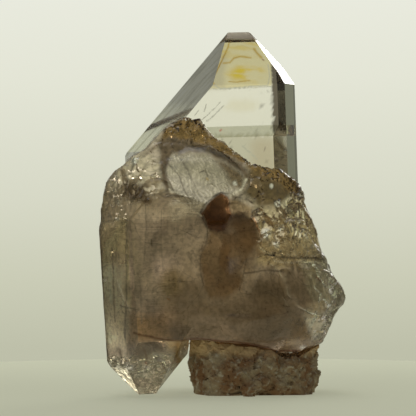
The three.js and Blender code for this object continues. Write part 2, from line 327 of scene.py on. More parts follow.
def refine(places, triangles, kinds, limit_of):
    """Halves long edges, over and over. The limit is worked out anew for the triangles of each round.

    A new triangle keeps its parent's kind. An edge is cut when it is longer than the smaller limit of its two
    triangles and is the longest edge of one of them, which keeps thin triangles from multiplying. A triangle
    with one, two or three cut edges becomes two, three or four.
    """
    for _ in range(MAX_ROUNDS):
        longest = limit_of(places, triangles, kinds)
        edges = np.sort(np.stack([triangles, np.roll(triangles, -1, axis=1)], axis=2).reshape(-1, 2), axis=1)
        names, edge_of = np.unique(edges[:, 0] * len(places) + edges[:, 1], return_inverse=True)
        pairs = np.stack([names // len(places), names % len(places)], axis=1)
        edge_of = edge_of.reshape(-1, 3)
        length = np.linalg.norm(places[pairs[:, 0]] - places[pairs[:, 1]], axis=1)
        limit = np.full(len(pairs), np.inf)
        np.minimum.at(limit, edge_of.ravel(), np.repeat(longest, 3))
        chief = np.zeros(len(pairs), bool)
        chief[edge_of[np.arange(len(edge_of)), length[edge_of].argmax(axis=1)]] = True
        cut = chief & (length > limit)
        if not cut.any():
            break
        number = np.where(cut, len(places) + np.cumsum(cut) - 1, -1)
        places = np.concatenate([places, places[pairs[cut]].mean(axis=1)])
        middles = number[edge_of]
        count = (middles >= 0).sum(axis=1)
        made, parents = [triangles[count == 0]], [np.flatnonzero(count == 0)]
        one = np.flatnonzero(count == 1)
        corner, middle = turned(triangles[one], middles[one], (middles[one] >= 0).argmax(axis=1))
        (a, b, c), m = corner.T, middle[:, 0]
        made += [np.stack(each, axis=1) for each in ((a, m, c), (m, b, c))]
        parents += [one, one]
        two = np.flatnonzero(count == 2)
        corner, middle = turned(triangles[two], middles[two], ((middles[two] < 0).argmax(axis=1) + 1) % 3)
        (a, b, c), (m, n, _) = corner.T, middle.T
        made += [np.stack(each, axis=1) for each in ((m, b, n), (a, m, n), (a, n, c))]
        parents += [two, two, two]
        every = np.flatnonzero(count == 3)
        (a, b, c), (m, n, o) = triangles[every].T, middles[every].T
        made += [np.stack(each, axis=1) for each in ((a, m, o), (m, b, n), (o, n, c), (m, n, o))]
        parents += [every] * 4
        triangles, parent = np.concatenate(made), np.concatenate(parents)
        kinds = kinds[parent]
    return places, triangles, kinds


def read_points(mesh):
    """The places of a mesh's vertices and their normals, in millimetres, as arrays."""
    places = np.empty(len(mesh.vertices) * 3)
    mesh.vertices.foreach_get("co", places)
    normals = np.empty(len(mesh.vertices) * 3, np.float32)
    mesh.vertex_normals.foreach_get("vector", normals)
    return places.reshape(-1, 3) / MM, normals.reshape(-1, 3).astype(float)


def edge_ends(mesh):
    """The two vertex numbers of every edge."""
    ends = np.empty(len(mesh.edges) * 2, np.int64)
    mesh.edges.foreach_get("vertices", ends)
    return ends.reshape(-1, 2)


def neighbours_mean(values, ends):
    """For each vertex, the mean of a value over the vertices that it shares an edge with."""
    flat = values.reshape(len(values), -1)
    total = np.zeros_like(flat)
    np.add.at(total, ends[:, 0], flat[ends[:, 1]])
    np.add.at(total, ends[:, 1], flat[ends[:, 0]])
    count = np.bincount(ends.ravel(), minlength=len(values))[:, None]
    return (total / np.maximum(count, 1)).reshape(values.shape)


def relax(places, pull, ends, rounds):
    """Moves each vertex half of the way to its neighbours' mean, times its own pull, this many times."""
    for _ in range(rounds):
        places = places + 0.5 * pull[:, None] * (neighbours_mean(places, ends) - places)
    return places


def move_points(mesh, places):
    """Puts a mesh's vertices at these places, given in millimetres."""
    mesh.vertices.foreach_set("co", (places * MM).ravel())
    mesh.update()


# %% [markdown]
# ## Which way a quartz crystal's faces look
#
# Quartz always grows with the same angles. The walls stand 60 degrees apart round the long axis, and the tip
# faces are tilted 38.2 degrees up from the walls. From a crystal's turn and lean, that gives every direction.

# %% Crystal directions
TIP_SLOPE = np.radians(38.2)
SPIRE = {"turn": 10.0, "lean": 2.0}
COLUMN = {"turn": 8.0, "lean": 3.6}
SAME_WAY = np.cos(np.radians(0.6))  # faces within 0.6 degrees of each other look the same way


def quartz_directions(turn, lean):
    """Directions of the six walls and twelve end faces: bearings 60 degrees apart, leaned to the left."""
    bearings = np.radians(turn + 60.0 * np.arange(6))
    level = np.stack([np.sin(bearings), -np.cos(bearings), np.zeros(6)], axis=1)
    up = np.array([0.0, 0.0, 1.0])
    ends = [np.cos(TIP_SLOPE) * level + side * np.sin(TIP_SLOPE) * up for side in (1, -1)]
    every = np.concatenate([level, *ends])
    angle = np.radians(-lean)
    tilt = np.array([[np.cos(angle), 0, np.sin(angle)], [0, 1, 0], [-np.sin(angle), 0, np.cos(angle)]])
    return every @ tilt.T


def lies_along(normals, directions):
    """True where a face looks the same way as one of a crystal's."""
    return (normals @ directions.T).max(axis=1) > SAME_WAY


spire_directions = quartz_directions(**SPIRE)
column_directions = quartz_directions(**COLUMN)
print("face directions of each crystal:", len(spire_directions))

# %% [markdown]
# ## Where the cluster changes
#
# The cluster isn't one even mass. A tan crust runs along its ragged top edge, a smooth dome sits under that,
# a deep hollow opens beside the dome, painted near black for its brown stain and for the shade inside it, and
# the right flank is etched and glassy. Each zone is an outline in x and z, in millimetres. Its border is
# softened, and bent a little by rolling noise.

# %% Soft masks over points
def s_curve(value):
    """3t^2 - 2t^3, where t is the value held between 0 and 1."""
    clipped = np.clip(value, 0, 1)
    return clipped * clipped * (3 - 2 * clipped)


def line_distance(points, corners, closed):
    """How far each point is from a line of straight parts in x and z, and whether the line rounds it."""
    x, z = points[:, 0], points[:, 2]
    nearest = np.full(len(points), np.inf)
    around = np.zeros(len(points), bool)
    ends = corners[1:] + corners[:1] if closed else corners[1:]
    for (x0, z0), (x1, z1) in zip(corners, ends):
        part = ((x - x0) * (x1 - x0) + (z - z0) * (z1 - z0)) / ((x1 - x0) ** 2 + (z1 - z0) ** 2)
        part = np.clip(part, 0, 1)
        nearest = np.minimum(nearest, np.hypot(x - x0 - part * (x1 - x0), z - z0 - part * (z1 - z0)))
        if z0 != z1:
            around ^= ((z0 > z) != (z1 > z)) & (x < x0 + (z - z0) * (x1 - x0) / (z1 - z0))
    return nearest, around


def inside(points, corners, soft):
    """1 inside a closed outline and 0 outside, changing over a border this wide."""
    nearest, around = line_distance(points, corners, True)
    return s_curve(np.where(around, nearest, -nearest) / soft + 0.5)


def close_to(points, corners, margin):
    """The numbers of the points that lie inside the box round a line, widened by a margin."""
    low, high = np.min(corners, axis=0), np.max(corners, axis=0)
    flat = points[:, [0, 2]]
    return np.flatnonzero(((flat > low - margin) & (flat < high + margin)).all(axis=1))


def along(points, corners, width):
    """1 on a line and 0 beyond half its width."""
    share = np.zeros(len(points))
    near = close_to(points, corners, width)
    nearest, _ = line_distance(points[near], corners, False)
    share[near] = 1 - s_curve(nearest / (0.5 * width))
    return share


# %% [markdown]
# The outlines below name the zones by what they are. They run from the crust and the dark band under it, by
# the dome, the hollow and the brown stain below it, to the flank with its bright rim and dull olive head, the
# calm low face, the clear point at the right, the strip down the column's left edge and the column's foot.
# They are listed in x and z, which keeps each one easy to move.

# %% Outlines of the zones
CRUST = [
    (-12.5, 38.6), (-10.2, 41.0), (-9.6, 42.8), (-8.5, 43.6), (-6.3, 45.6), (-3.6, 45.6), (-2.4, 42.4),
    (-0.4, 41.6), (1.6, 40.6), (3.6, 39.6), (5.4, 38.4),
    (7.2, 37.6), (9.2, 37.2), (10.8, 36.4), (12.6, 34.4),
    (13.4, 32.0), (11.5, 31.8), (9.5, 34.2), (7.0, 35.4),
    (4.8, 35.8), (3.6, 37.4), (1.2, 38.8), (-2.0, 39.8),
    (-6.0, 41.2), (-8.6, 41.4),
]
DARK_BAND = [
    (-10.5, 41.0), (-8.6, 41.9), (-5.5, 41.5), (-2.0, 40.2),
    (1.2, 39.0), (3.4, 37.6), (4.5, 35.2), (3.8, 34.4),
    (2.6, 36.5), (0.5, 37.8), (-2.4, 38.7), (-6.0, 39.3),
    (-8.2, 39.0), (-8.8, 36.5), (-7.6, 33.4), (-8.8, 32.8),
    (-10.2, 36.6),
]
DOME = [
    (-8.3, 38.6), (-5.4, 39.1), (-2.2, 38.5), (0.6, 37.6),
    (2.8, 36.2), (3.8, 34.6), (3.2, 33.0), (1.6, 32.3),
    (-0.3, 32.2), (-1.8, 31.1), (-3.2, 29.4), (-5.0, 30.2), (-6.8, 31.6), (-8.0, 33.4), (-8.8, 36.0),
]
HOLLOW = [
    (-0.4, 32.9), (1.0, 32.3), (1.3, 31.0), (1.2, 30.2),
    (1.9, 29.4), (0.9, 27.6), (0.4, 26.6), (-1.2, 26.2),
    (-2.6, 27.0), (-3.2, 28.0), (-3.9, 29.2), (-2.9, 30.6), (-2.0, 31.8),
]
BROWN_ZONE = [
    (-3.4, 29.2), (-2.4, 27.4), (-2.6, 25.0), (-3.6, 22.8),
    (-3.8, 20.5), (-3.0, 17.5), (-2.4, 16.0), (0.5, 16.2),
    (2.6, 17.4), (3.2, 20.4), (4.4, 23.0), (6.2, 25.0), (5.4, 28.0), (4.6, 30.8), (2.4, 32.0), (0.6, 32.2),
]
FLANK = [
    (4.4, 36.5), (8.0, 36.6), (12.0, 34.0), (13.6, 31.0),
    (15.2, 26.0), (17.2, 21.5), (9.0, 20.6), (5.4, 21.6),
    (5.8, 25.0), (5.0, 29.5), (4.0, 32.8),
]
LOWER_FACE = [
    (-12.0, 9.6), (-9.0, 19.0), (-4.0, 18.4), (-2.4, 15.8),
    (2.8, 16.6), (7.0, 19.0), (11.0, 19.4), (12.4, 15.0),
    (12.0, 10.0), (4.0, 8.4), (-4.0, 8.8),
]
CLEAR_POINT = [
    (12.6, 21.8), (17.2, 22.2), (18.0, 19.0), (21.0, 15.0),
    (18.0, 11.2), (16.5, 8.0), (13.4, 8.0), (12.6, 12.0),
    (14.8, 15.2), (13.4, 18.5),
]
OLIVE_STRIP = [
    (-19.4, 33.0), (-15.8, 33.4), (-15.2, 28.0), (-15.0, 16.0), (-15.8, 9.0), (-18.6, 8.0), (-19.4, 16.0),
]
SHOULDER = [
    (-19.6, 28.0), (-18.8, 34.6), (-15.4, 38.8), (-12.5, 38.8), (-10.2, 37.4), (-9.4, 33.0), (-11.0, 30.4),
    (-15.4, 29.0), (-17.4, 27.8),
]
OLIVE_HEAD = [(3.9, 36.6), (9.6, 36.0), (11.8, 33.2), (9.0, 30.2), (5.4, 30.4), (3.4, 32.6)]
LOWER_RIGHT = [(3.6, 9.0), (5.0, 18.4), (9.0, 18.6), (11.0, 15.4), (13.6, 11.4), (12.4, 8.6)]
SHOULDER_SHADE = [(-16.4, 34.4), (-13.4, 34.6), (-10.8, 31.6), (-11.6, 30.4), (-14.4, 31.2), (-16.2, 32.2)]
FLANK_RIM = [
    (9.0, 31.4), (11.6, 32.4), (13.2, 30.4), (14.6, 26.6), (16.4, 23.0), (13.0, 23.4), (11.0, 26.8),
]
DOME_SHADE = [(-1.4, 38.4), (1.4, 37.4), (3.6, 35.4), (3.6, 33.4), (1.6, 33.4), (0.4, 35.6)]
LOWER_LEFT = [(-15.4, 13.4), (-9.0, 13.0), (-8.6, 9.0), (-15.6, 8.6)]
STRIP_FOOT = [(-19.8, 21.0), (-15.6, 21.0), (-15.4, 8.4), (-19.2, 7.6)]
FAR_CORNER = [(10.4, 12.8), (13.6, 13.0), (14.8, 9.4), (13.0, 8.2), (10.8, 8.4)]
COLUMN_TIP = [(-20.0, 6.2), (-14.5, 6.4), (-10.0, 7.4), (-5.0, 7.4), (-5.0, -1.0), (-20.0, -1.0)]
PALE_WEDGE = [
    (-8.8, 31.2), (-7.2, 31.6), (-4.4, 29.8), (-3.4, 29.0), (-6.4, 28.9), (-7.6, 27.8), (-8.9, 28.2),
]
PALE_FROST = [(-15.6, 31.4), (-12.4, 30.0), (-9.2, 30.0), (-8.8, 28.6), (-12.6, 28.0), (-15.2, 28.8)]
OLIVE_SPOT = [(-9.6, 20.0), (-7.6, 20.6), (-6.2, 19.2), (-6.8, 16.8), (-9.0, 16.4), (-10.2, 18.2)]
TAN_FOOT = [(-9.6, 9.0), (-4.0, 9.1), (4.0, 7.8), (8.0, 6.4), (9.0, 3.0), (-6.0, 3.0), (-8.0, 6.6)]
PINK_CORNER = [(8.6, 8.6), (12.0, 9.0), (16.6, 9.6), (16.6, 4.0), (8.0, 4.0)]

# %% [markdown]
# Thin things are lines with a width: the dark red seam above the rock, the cracks at the right, painted shade
# under the ledges there with a painted highlight between them, painted highlights along the dome's lower
# rim, painted shade under the dome's right edge, in a groove at its left and along the rim of the hollow, and
# the edges of the column. A line is a chain of straight parts. The glints are painted: small clear spots,
# each with a place and a reach, that let light through where a glint should shine.

# %% Lines on the body, each with its width and colour
DEEP_RED = (0.05, 0.010, 0.003)
DARK = (0.05, 0.035, 0.02)
# a painted highlight, for lines along the dome's lower rim and along a ledge
PAINTED_EDGE_HIGHLIGHT = (0.80, 0.68, 0.50)
RUST = (0.26, 0.075, 0.015)
BODY_LINES = [
    ([(-14.2, 10.4), (-12.6, 10.0), (-11.2, 9.8), (-9.4, 9.3), (-6.6, 9.2), (-4.0, 9.5), (-2.0, 9.2)],
     0.8, DEEP_RED),
    ([(-2.0, 9.2), (0.4, 9.0), (2.2, 8.8), (4.6, 8.4), (6.6, 8.0), (8.6, 7.2), (12.4, 7.1)], 0.8, DEEP_RED),
    # painted shade along the rim of the hollow, under the dome's lip
    ([(-4.0, 29.0), (-3.0, 30.8), (-1.7, 32.0), (-0.3, 32.9), (0.6, 32.6)], 0.5, (0.008, 0.004, 0.002)),
    ([(-3.7, 36.0), (-2.9, 36.3), (-2.4, 35.4)], 0.5, DARK),
    ([(-2.9, 36.6), (-2.7, 35.9)], 0.3, DARK),
    ([(-2.6, 35.1), (-2.4, 34.8)], 0.4, (0.45, 0.24, 0.03)),
    ([(-16.5, 14.7), (-15.4, 14.4), (-13.4, 14.2)], 0.4, DARK),
    ([(-16.2, 13.9), (-15.8, 13.4)], 0.3, DARK),
    # painted shade along the ledges at the right, with a painted highlight between them
    ([(6.8, 22.9), (9.0, 22.5), (12.0, 22.3), (15.2, 22.2), (16.6, 21.8)], 0.6, DARK),
    ([(8.2, 21.9), (10.4, 21.6), (12.4, 21.7)], 0.45, PAINTED_EDGE_HIGHLIGHT),
    ([(3.4, 19.9), (5.0, 20.1), (7.0, 20.4), (9.4, 20.2)], 0.6, DARK),
    # painted highlights along the dome's lower rim, then painted shade just under its right edge
    ([(-6.4, 30.2), (-4.0, 30.6), (-1.9, 32.0)], 0.5, PAINTED_EDGE_HIGHLIGHT),
    ([(1.3, 32.4), (3.0, 33.4), (3.8, 35.0)], 0.5, PAINTED_EDGE_HIGHLIGHT),
    ([(1.6, 31.7), (3.6, 32.8), (4.6, 34.8)], 0.6, DARK),
    ([(-8.9, 37.6), (-7.0, 35.4), (-6.2, 33.2), (-5.0, 31.2)], 0.35, DARK),
    ([(-6.6, 38.2), (-5.2, 35.4), (-4.0, 33.0)], 0.3, (0.14, 0.11, 0.08)),
    ([(-12.4, 31.0), (-12.2, 27.0), (-12.6, 22.0)], 0.4, (0.16, 0.12, 0.08)),
    ([(-9.8, 30.0), (-9.9, 25.0), (-9.6, 20.0)], 0.3, (0.20, 0.15, 0.10)),
    ([(8.4, 22.0), (8.2, 21.0), (8.6, 20.2)], 0.25, DARK),
    ([(3.9, 22.4), (3.4, 20.6), (3.0, 18.6), (2.6, 17.2)], 0.3, DARK),
    ([(4.5, 29.3), (4.9, 28.8), (5.5, 27.4), (6.2, 25.6)], 0.45, RUST),
    ([(4.5, 29.2), (4.8, 28.9)], 0.7, DARK),
    ([(-3.2, 29.2), (-2.5, 27.4), (-2.6, 25.0), (-3.6, 22.6), (-3.7, 20.5), (-3.1, 18.0)], 0.35, DARK),
    # a painted highlight along the dome's lower left edge, then painted shade in the groove at its left
    ([(-8.6, 33.4), (-7.8, 32.0), (-6.2, 30.9), (-4.6, 29.9), (-3.5, 29.1)], 0.4, PAINTED_EDGE_HIGHLIGHT),
    ([(-9.4, 37.2), (-9.0, 35.2), (-8.0, 33.2)], 0.6, DARK),
    ([(-7.0, 27.0), (-4.0, 25.6)], 0.22, DARK),
    ([(-8.5, 18.7), (-5.0, 18.6)], 0.22, DARK),
    ([(-11.4, 25.4), (-11.3, 24.2)], 0.5, DARK),
    ([(-13.2, 20.0), (-13.0, 12.0)], 0.5, (0.20, 0.15, 0.10)),
    ([(-15.3, 28.5), (-15.4, 16.0), (-15.8, 9.5)], 0.6, (0.20, 0.16, 0.10)),
    ([(-19.7, 24.0), (-19.3, 14.0), (-18.8, 6.4)], 0.5, (0.12, 0.06, 0.02)),
    ([(-17.8, 24.0), (-17.4, 12.0)], 0.5, (0.26, 0.20, 0.10)),
    ([(-7.2, 8.6), (-7.5, 6.8), (-6.9, 5.2)], 2.2, (0.26, 0.13, 0.02)),
    ([(-12.6, 7.8), (-12.2, 6.4), (-12.4, 5.6)], 0.6, (0.22, 0.12, 0.05)),
    ([(-16.6, 7.6), (-16.2, 6.0), (-15.2, 5.6)], 0.5, (0.20, 0.13, 0.07)),
    ([(-18.6, 5.9), (-16.4, 5.8), (-15.8, 4.2), (-13.4, 1.4)], 0.35, (0.24, 0.19, 0.12)),
    ([(-10.8, 6.4), (-9.2, 4.4), (-8.4, 3.6)], 0.4, (0.34, 0.24, 0.10)),
    ([(-7.5, 5.5), (-7.3, 5.2)], 0.5, RUST),
    ([(-12.4, 5.6), (-12.2, 5.3)], 0.35, (0.6, 0.05, 0.02)),
    ([(-8.9, 15.9), (-8.6, 15.7)], 0.4, RUST),
    ([(-15.2, 3.6), (-13.0, 3.9)], 0.3, DARK),
    ([(-14.6, 3.0), (-13.8, 4.6)], 0.25, DARK),
    ([(15.2, 19.2), (15.8, 18.6)], 0.6, RUST),
    ([(-0.4, 7.5), (0.6, 8.2), (2.2, 8.0)], 0.3, RUST),
]
# painted glints: x, z and reach of each clear spot painted where a glint should shine
PAINTED_GLINTS = [
    (6.9, 26.2, 0.9), (9.3, 27.2, 0.5), (11.4, 27.2, 0.45),
    (8.8, 31.0, 0.5), (12.3, 28.2, 0.4), (12.8, 32.6, 0.5),
    (1.9, 34.3, 0.35), (7.8, 33.9, 0.3), (12.1, 30.0, 0.3),
    (12.8, 26.9, 0.4), (13.6, 25.6, 0.35), (8.6, 24.4, 0.5),
    (14.6, 24.2, 0.35), (-14.2, 37.9, 0.6), (-16.8, 31.4, 0.4), (-16.9, 28.6, 0.3),
    (-19.1, 18.6, 0.35), (13.8, 20.6, 0.5), (-15.2, 5.2, 0.5), (-14.6, 4.7, 0.6), (-12.3, 4.8, 0.35),
    (13.0, 7.7, 0.4), (-10.2, 6.0, 0.4), (-8.8, 4.4, 0.4), (6.2, 7.0, 0.4), (16.6, 10.2, 0.4),
]

# %% [markdown]
# On the clear spire almost nothing is painted: the iron-gold stain and its borders on the tip face, a smoky
# healed crack in the window, two red specks, and a brown edge at the right. They are painted on the front
# faces alone, because a stain sits in one place and mustn't be seen twice.

# %% Stains and lines on the spire
GOLD = (0.40, 0.20, 0.008)
GREY_LINE = (0.36, 0.36, 0.28)
SMOKE_LINE = (0.16, 0.16, 0.12)
SPIRE_LINES = [
    ([(1.2, 57.8), (0.5, 56.0), (-0.4, 54.0), (-1.2, 52.4), (-1.8, 51.3), (-1.4, 50.4)], 0.55, GOLD),
    ([(0.5, 55.8), (-0.6, 53.5), (-1.7, 51.4)], 0.2, (0.16, 0.08, 0.01)),
    ([(0.1, 54.1), (1.2, 54.3), (1.9, 55.1), (3.0, 55.3), (4.6, 55.1)], 0.6, GOLD),
    ([(1.0, 57.6), (2.2, 58.1), (3.6, 58.2), (5.0, 57.6)], 0.3, (0.62, 0.42, 0.10)),
    ([(2.0, 56.9), (3.4, 57.2), (4.8, 56.6)], 0.25, (0.62, 0.42, 0.10)),
    ([(5.2, 56.6), (5.8, 55.8), (6.4, 55.2)], 0.8, GOLD),
    ([(6.6, 54.9), (6.8, 54.7)], 0.45, (0.14, 0.02, 0.01)),
    ([(1.0, 51.0), (2.4, 50.9), (4.4, 51.2)], 0.4, GOLD),
    ([(-1.4, 50.4), (-0.4, 49.8), (2.0, 50.0), (5.6, 50.3), (7.4, 50.4), (7.7, 52.0), (7.5, 54.0)],
     0.3, GREY_LINE),
    ([(-2.9, 49.7), (0.0, 49.7), (8.0, 50.2)], 0.22, GREY_LINE),
    ([(-0.5, 42.9), (-0.2, 43.1)], 0.42, (0.75, 0.02, 0.008)),
    ([(-0.3, 40.9), (0.1, 41.1)], 0.32, (0.78, 0.06, 0.03)),
    ([(-3.4, 44.7), (-2.0, 45.9), (-0.4, 47.6)], 0.22, SMOKE_LINE),
    ([(-2.6, 44.5), (-1.3, 45.5), (0.2, 47.1)], 0.3, SMOKE_LINE),
    ([(-3.0, 46.0), (-2.7, 47.2)], 0.25, SMOKE_LINE),
    ([(-4.6, 45.4), (-3.9, 46.2)], 0.25, SMOKE_LINE),
    ([(3.2, 40.4), (4.4, 39.4), (5.6, 38.4)], 0.35, GREY_LINE),
]
RHOMB = [
    (-3.4, 49.7), (-2.2, 52.0), (-0.9, 55.0), (0.6, 60.0), (5.0, 60.0), (8.2, 54.6), (8.0, 50.3),
    (2.0, 49.9),
]
DARK_EDGE = [(7.9, 54.8), (8.7, 54.6), (10.4, 51.2), (10.6, 43.0), (8.2, 42.6), (8.0, 46.0), (8.0, 50.0)]
RHOMB_LEFT = [(-3.6, 49.7), (-2.2, 52.2), (-0.4, 56.0), (1.0, 56.0), (0.2, 52.0), (0.4, 49.9)]
WINDOW_SMEAR = [(0.2, 46.6), (1.4, 48.0), (4.6, 48.0), (6.2, 47.2), (4.8, 46.2), (2.0, 46.0)]
SPECKLED = [(3.2, 42.6), (4.0, 49.4), (8.0, 50.0), (8.2, 42.6)]
GOLD_PATCH = [(0.6, 52.2), (2.4, 53.8), (5.6, 53.9), (6.8, 52.8), (5.4, 50.9), (1.8, 51.2)]
VEIL = [(-3.0, 42.3), (9.8, 42.4), (10.6, 36.0), (4.0, 36.4), (-0.6, 39.6)]
BROWN_VEIL = [(4.8, 36.0), (4.6, 41.0), (5.8, 41.8), (8.4, 41.6), (9.0, 36.0)]
SPIRE_ZONES = [
    (WINDOW_SMEAR, 1.2, (0.90, 0.85, 0.66)),
    (RHOMB, 0.4, (0.72, 0.61, 0.27)),
    (RHOMB_LEFT, 1.4, (0.48, 0.41, 0.21)),
    (VEIL, 0.3, (0.54, 0.51, 0.37)),
    (BROWN_VEIL, 2.4, (0.46, 0.38, 0.24)),
    (DARK_EDGE, 0.3, (0.035, 0.027, 0.018)),
]
STAIN_COLOUR = (0.68, 0.42, 0.010)
STAIN_FOOT = 54.4  # above this height, in millimetres, the stain spreads over the whole tip face
print("lines on the body:", len(BODY_LINES), "on the spire:", len(SPIRE_LINES), "glints:", len(PAINTED_GLINTS))

# %% [markdown]
# ## The quartz
#
# The spire's faces are mirror-flat and stay as they are, so that what is behind shows through them. The
# column's faces are nearly flat, with fine level growth lines. The rest is etched: rolling at a large scale
# and glittering at a small one. The side that is looked at is cut up more finely than the others.

# %% Tell clean faces from etched ones
ETCHED, SPIRE_FACE, FOOT_FACE, WALL_FACE = range(4)
SPIRE_FOOT = 24.0  # below this height, in millimetres, no face is the spire's
COLUMN_FOOT = 9.0  # the column's lower end faces lie below this height
COLUMN_RIGHT = -6.0
TERRACE_FOOT = 31.0  # above this height the column's walls are etched away


def face_kinds(places, triangles):
    """The kind of each triangle, told by its direction and by where its middle lies."""
    normals = triangle_normals(places, triangles)
    middle = places[triangles].mean(axis=1)
    kinds = np.full(len(triangles), ETCHED)
    kinds[lies_along(normals, column_directions) & (middle[:, 2] < TERRACE_FOOT)] = WALL_FACE
    low = (middle[:, 2] < COLUMN_FOOT) & (middle[:, 0] < COLUMN_RIGHT)
    kinds[lies_along(normals, column_directions[6:]) & low] = FOOT_FACE
    kinds[lies_along(normals, spire_directions) & (middle[:, 2] > SPIRE_FOOT)] = SPIRE_FACE
    return kinds


# %% [markdown]
# Relief needs many small triangles, but only where it will be seen. So the front is cut up finely where it is
# rough, more finely still along each painted line, and coarsely at the back. The spire's hidden faces stay
# as large as they are.

# %% Build the quartz
ROUGH_EDGE = 0.5  # longest edges, in millimetres: on rough, other front, back and spire faces, and by a line
FRONT_EDGE = 0.85
OTHER_EDGE = 1.1
SPIRE_EDGE = 1.0
LINE_EDGE = 0.28
WHOLE = 1000.0  # so long that nothing is cut
RHOMB_FOOT = 49.5  # the stained tip face begins at this height
ROUGH_TOP = 28.5  # the front is rough above this height,
ROUGH_RIGHT = 12.0  # to the right of this,
FLANK_LEFT, FLANK_LOW = 4.5, 20.5  # and right of the first and above the second of these


def quartz_limit(places, triangles, kinds):
    """How long an edge may be: fine where the front is rough, finest by a line, any behind the spire."""
    front = triangle_normals(places, triangles)[:, 1] < 0.1
    on_spire = kinds == SPIRE_FACE
    seen, unseen = np.where(on_spire, SPIRE_EDGE, FRONT_EDGE), np.where(on_spire, WHOLE, OTHER_EDGE)
    limit = np.where(front, seen, unseen)
    middle = places[triangles].mean(axis=1)
    x, z = middle[:, 0], middle[:, 2]
    rough = (z > ROUGH_TOP) | (x > ROUGH_RIGHT) | ((x > FLANK_LEFT) & (z > FLANK_LOW))
    limit[front & rough & ~on_spire] = ROUGH_EDGE
    limit[front & on_spire & (z > RHOMB_FOOT)] = ROUGH_EDGE
    limit[front & (kinds == FOOT_FACE)] = ROUGH_EDGE
    size = np.linalg.norm(places[triangles[:, 0]] - places[triangles[:, 1]], axis=1)
    for number, lines in ((True, SPIRE_LINES), (False, BODY_LINES)):
        chosen = np.flatnonzero(front & (on_spire == number))
        for corners, width, _ in lines:
            near = chosen[close_to(middle[chosen], corners, size.max() + width)]
            nearest, _ = line_distance(middle[near], corners, False)
            limit[near[nearest < 0.5 * width + 0.05 + 0.4 * size[near]]] = LINE_EDGE
    return limit


def build_quartz():
    """The cluster's copy, cut up by the limits above, with the kind of each of its triangles."""
    places, triangles = weld("crystal_cluster")
    places, triangles, kinds = refine(places, triangles, face_kinds(places, triangles), quartz_limit)
    return to_mesh_object("quartz_cluster", places * MM, triangles), kinds


quartz, kinds = build_quartz()
spire_faces, foot_faces, wall_faces = (kinds == kind for kind in (SPIRE_FACE, FOOT_FACE, WALL_FACE))
print("quartz triangles:", len(quartz.data.polygons), "of each kind:", np.bincount(kinds))


def spread_to_points(mesh, faces):
    """For each vertex, the share of its corners that lie on the marked faces."""
    corners = np.empty(len(mesh.loops), np.int64)
    mesh.loops.foreach_get("vertex_index", corners)
    on_marked = np.repeat(faces, 3).astype(float)
    total = np.bincount(corners, weights=on_marked, minlength=len(mesh.vertices))
    return total / np.maximum(np.bincount(corners, minlength=len(mesh.vertices)), 1)


# %% [markdown]
# ## Stains and frost
#
# The colours are what light keeps on its way through a front and a back surface, so a pale number means clear
# and a small one means dark. Frost is how rough the surface is. Zone is laid over zone, then clouds and
# upright streaks vary the colour, and lines, some of them painted shade and highlights, and the painted
# glints come last.

# %% Paint the zones
BODY_COLOUR = (0.365, 0.27, 0.182)
SPIRE_COLOUR = (1.0, 0.985, 0.90)
BODY_FROST = 0.34
TIP_FOOT = 58.2  # above this height, in millimetres, the chisel end is frosted and faintly mauve
TIP_COLOUR = (1.0, 0.80, 0.72)
ZONES = [
    (FLANK, 2.0, (0.46, 0.33, 0.165), 0.26),
    (FLANK_RIM, 1.6, (0.98, 0.80, 0.46), 0.16),
    (OLIVE_HEAD, 1.6, (0.042, 0.022, 0.006), 0.24),
    (LOWER_FACE, 3.0, (0.175, 0.118, 0.066), 0.36),
    (LOWER_RIGHT, 3.0, (0.11, 0.07, 0.034), 0.30),
    (LOWER_LEFT, 2.0, (0.33, 0.19, 0.075), 0.34),
    (BROWN_ZONE, 1.0, (0.15, 0.079, 0.03), 0.30),
    (OLIVE_STRIP, 1.2, (0.64, 0.50, 0.23), 0.22),
    (STRIP_FOOT, 1.6, (1.0, 0.88, 0.56), 0.50),
    (SHOULDER, 1.6, (0.62, 0.48, 0.31), 0.32),
    (SHOULDER_SHADE, 1.4, (0.09, 0.055, 0.026), 0.24),
    (CLEAR_POINT, 1.6, (1.0, 1.0, 0.76), 0.16),
    (FAR_CORNER, 1.6, (0.14, 0.08, 0.03), 0.28),
    (PINK_CORNER, 1.2, (0.30, 0.20, 0.11), 0.25),
    (TAN_FOOT, 0.8, (0.66, 0.47, 0.20), 0.28),
    (COLUMN_TIP, 1.6, (1.0, 0.88, 0.56), 0.06),
    (CRUST, 0.9, (0.085, 0.036, 0.006), 0.26),
    (DARK_BAND, 0.9, (0.036, 0.020, 0.009), 0.30),
    # the dome is painted lighter, partly its own colour and partly painted light on its rounded face;
    # DOME_SHADE is painted shade on its right
    (DOME, 0.8, (0.41, 0.34, 0.24), 0.26),
    (DOME_SHADE, 1.4, (0.09, 0.052, 0.022), 0.28),
    (PALE_WEDGE, 0.6, (0.56, 0.45, 0.32), 0.24),
    (PALE_FROST, 1.4, (0.56, 0.43, 0.30), 0.30),
    (OLIVE_SPOT, 1.6, (0.22, 0.145, 0.06), 0.30),
]
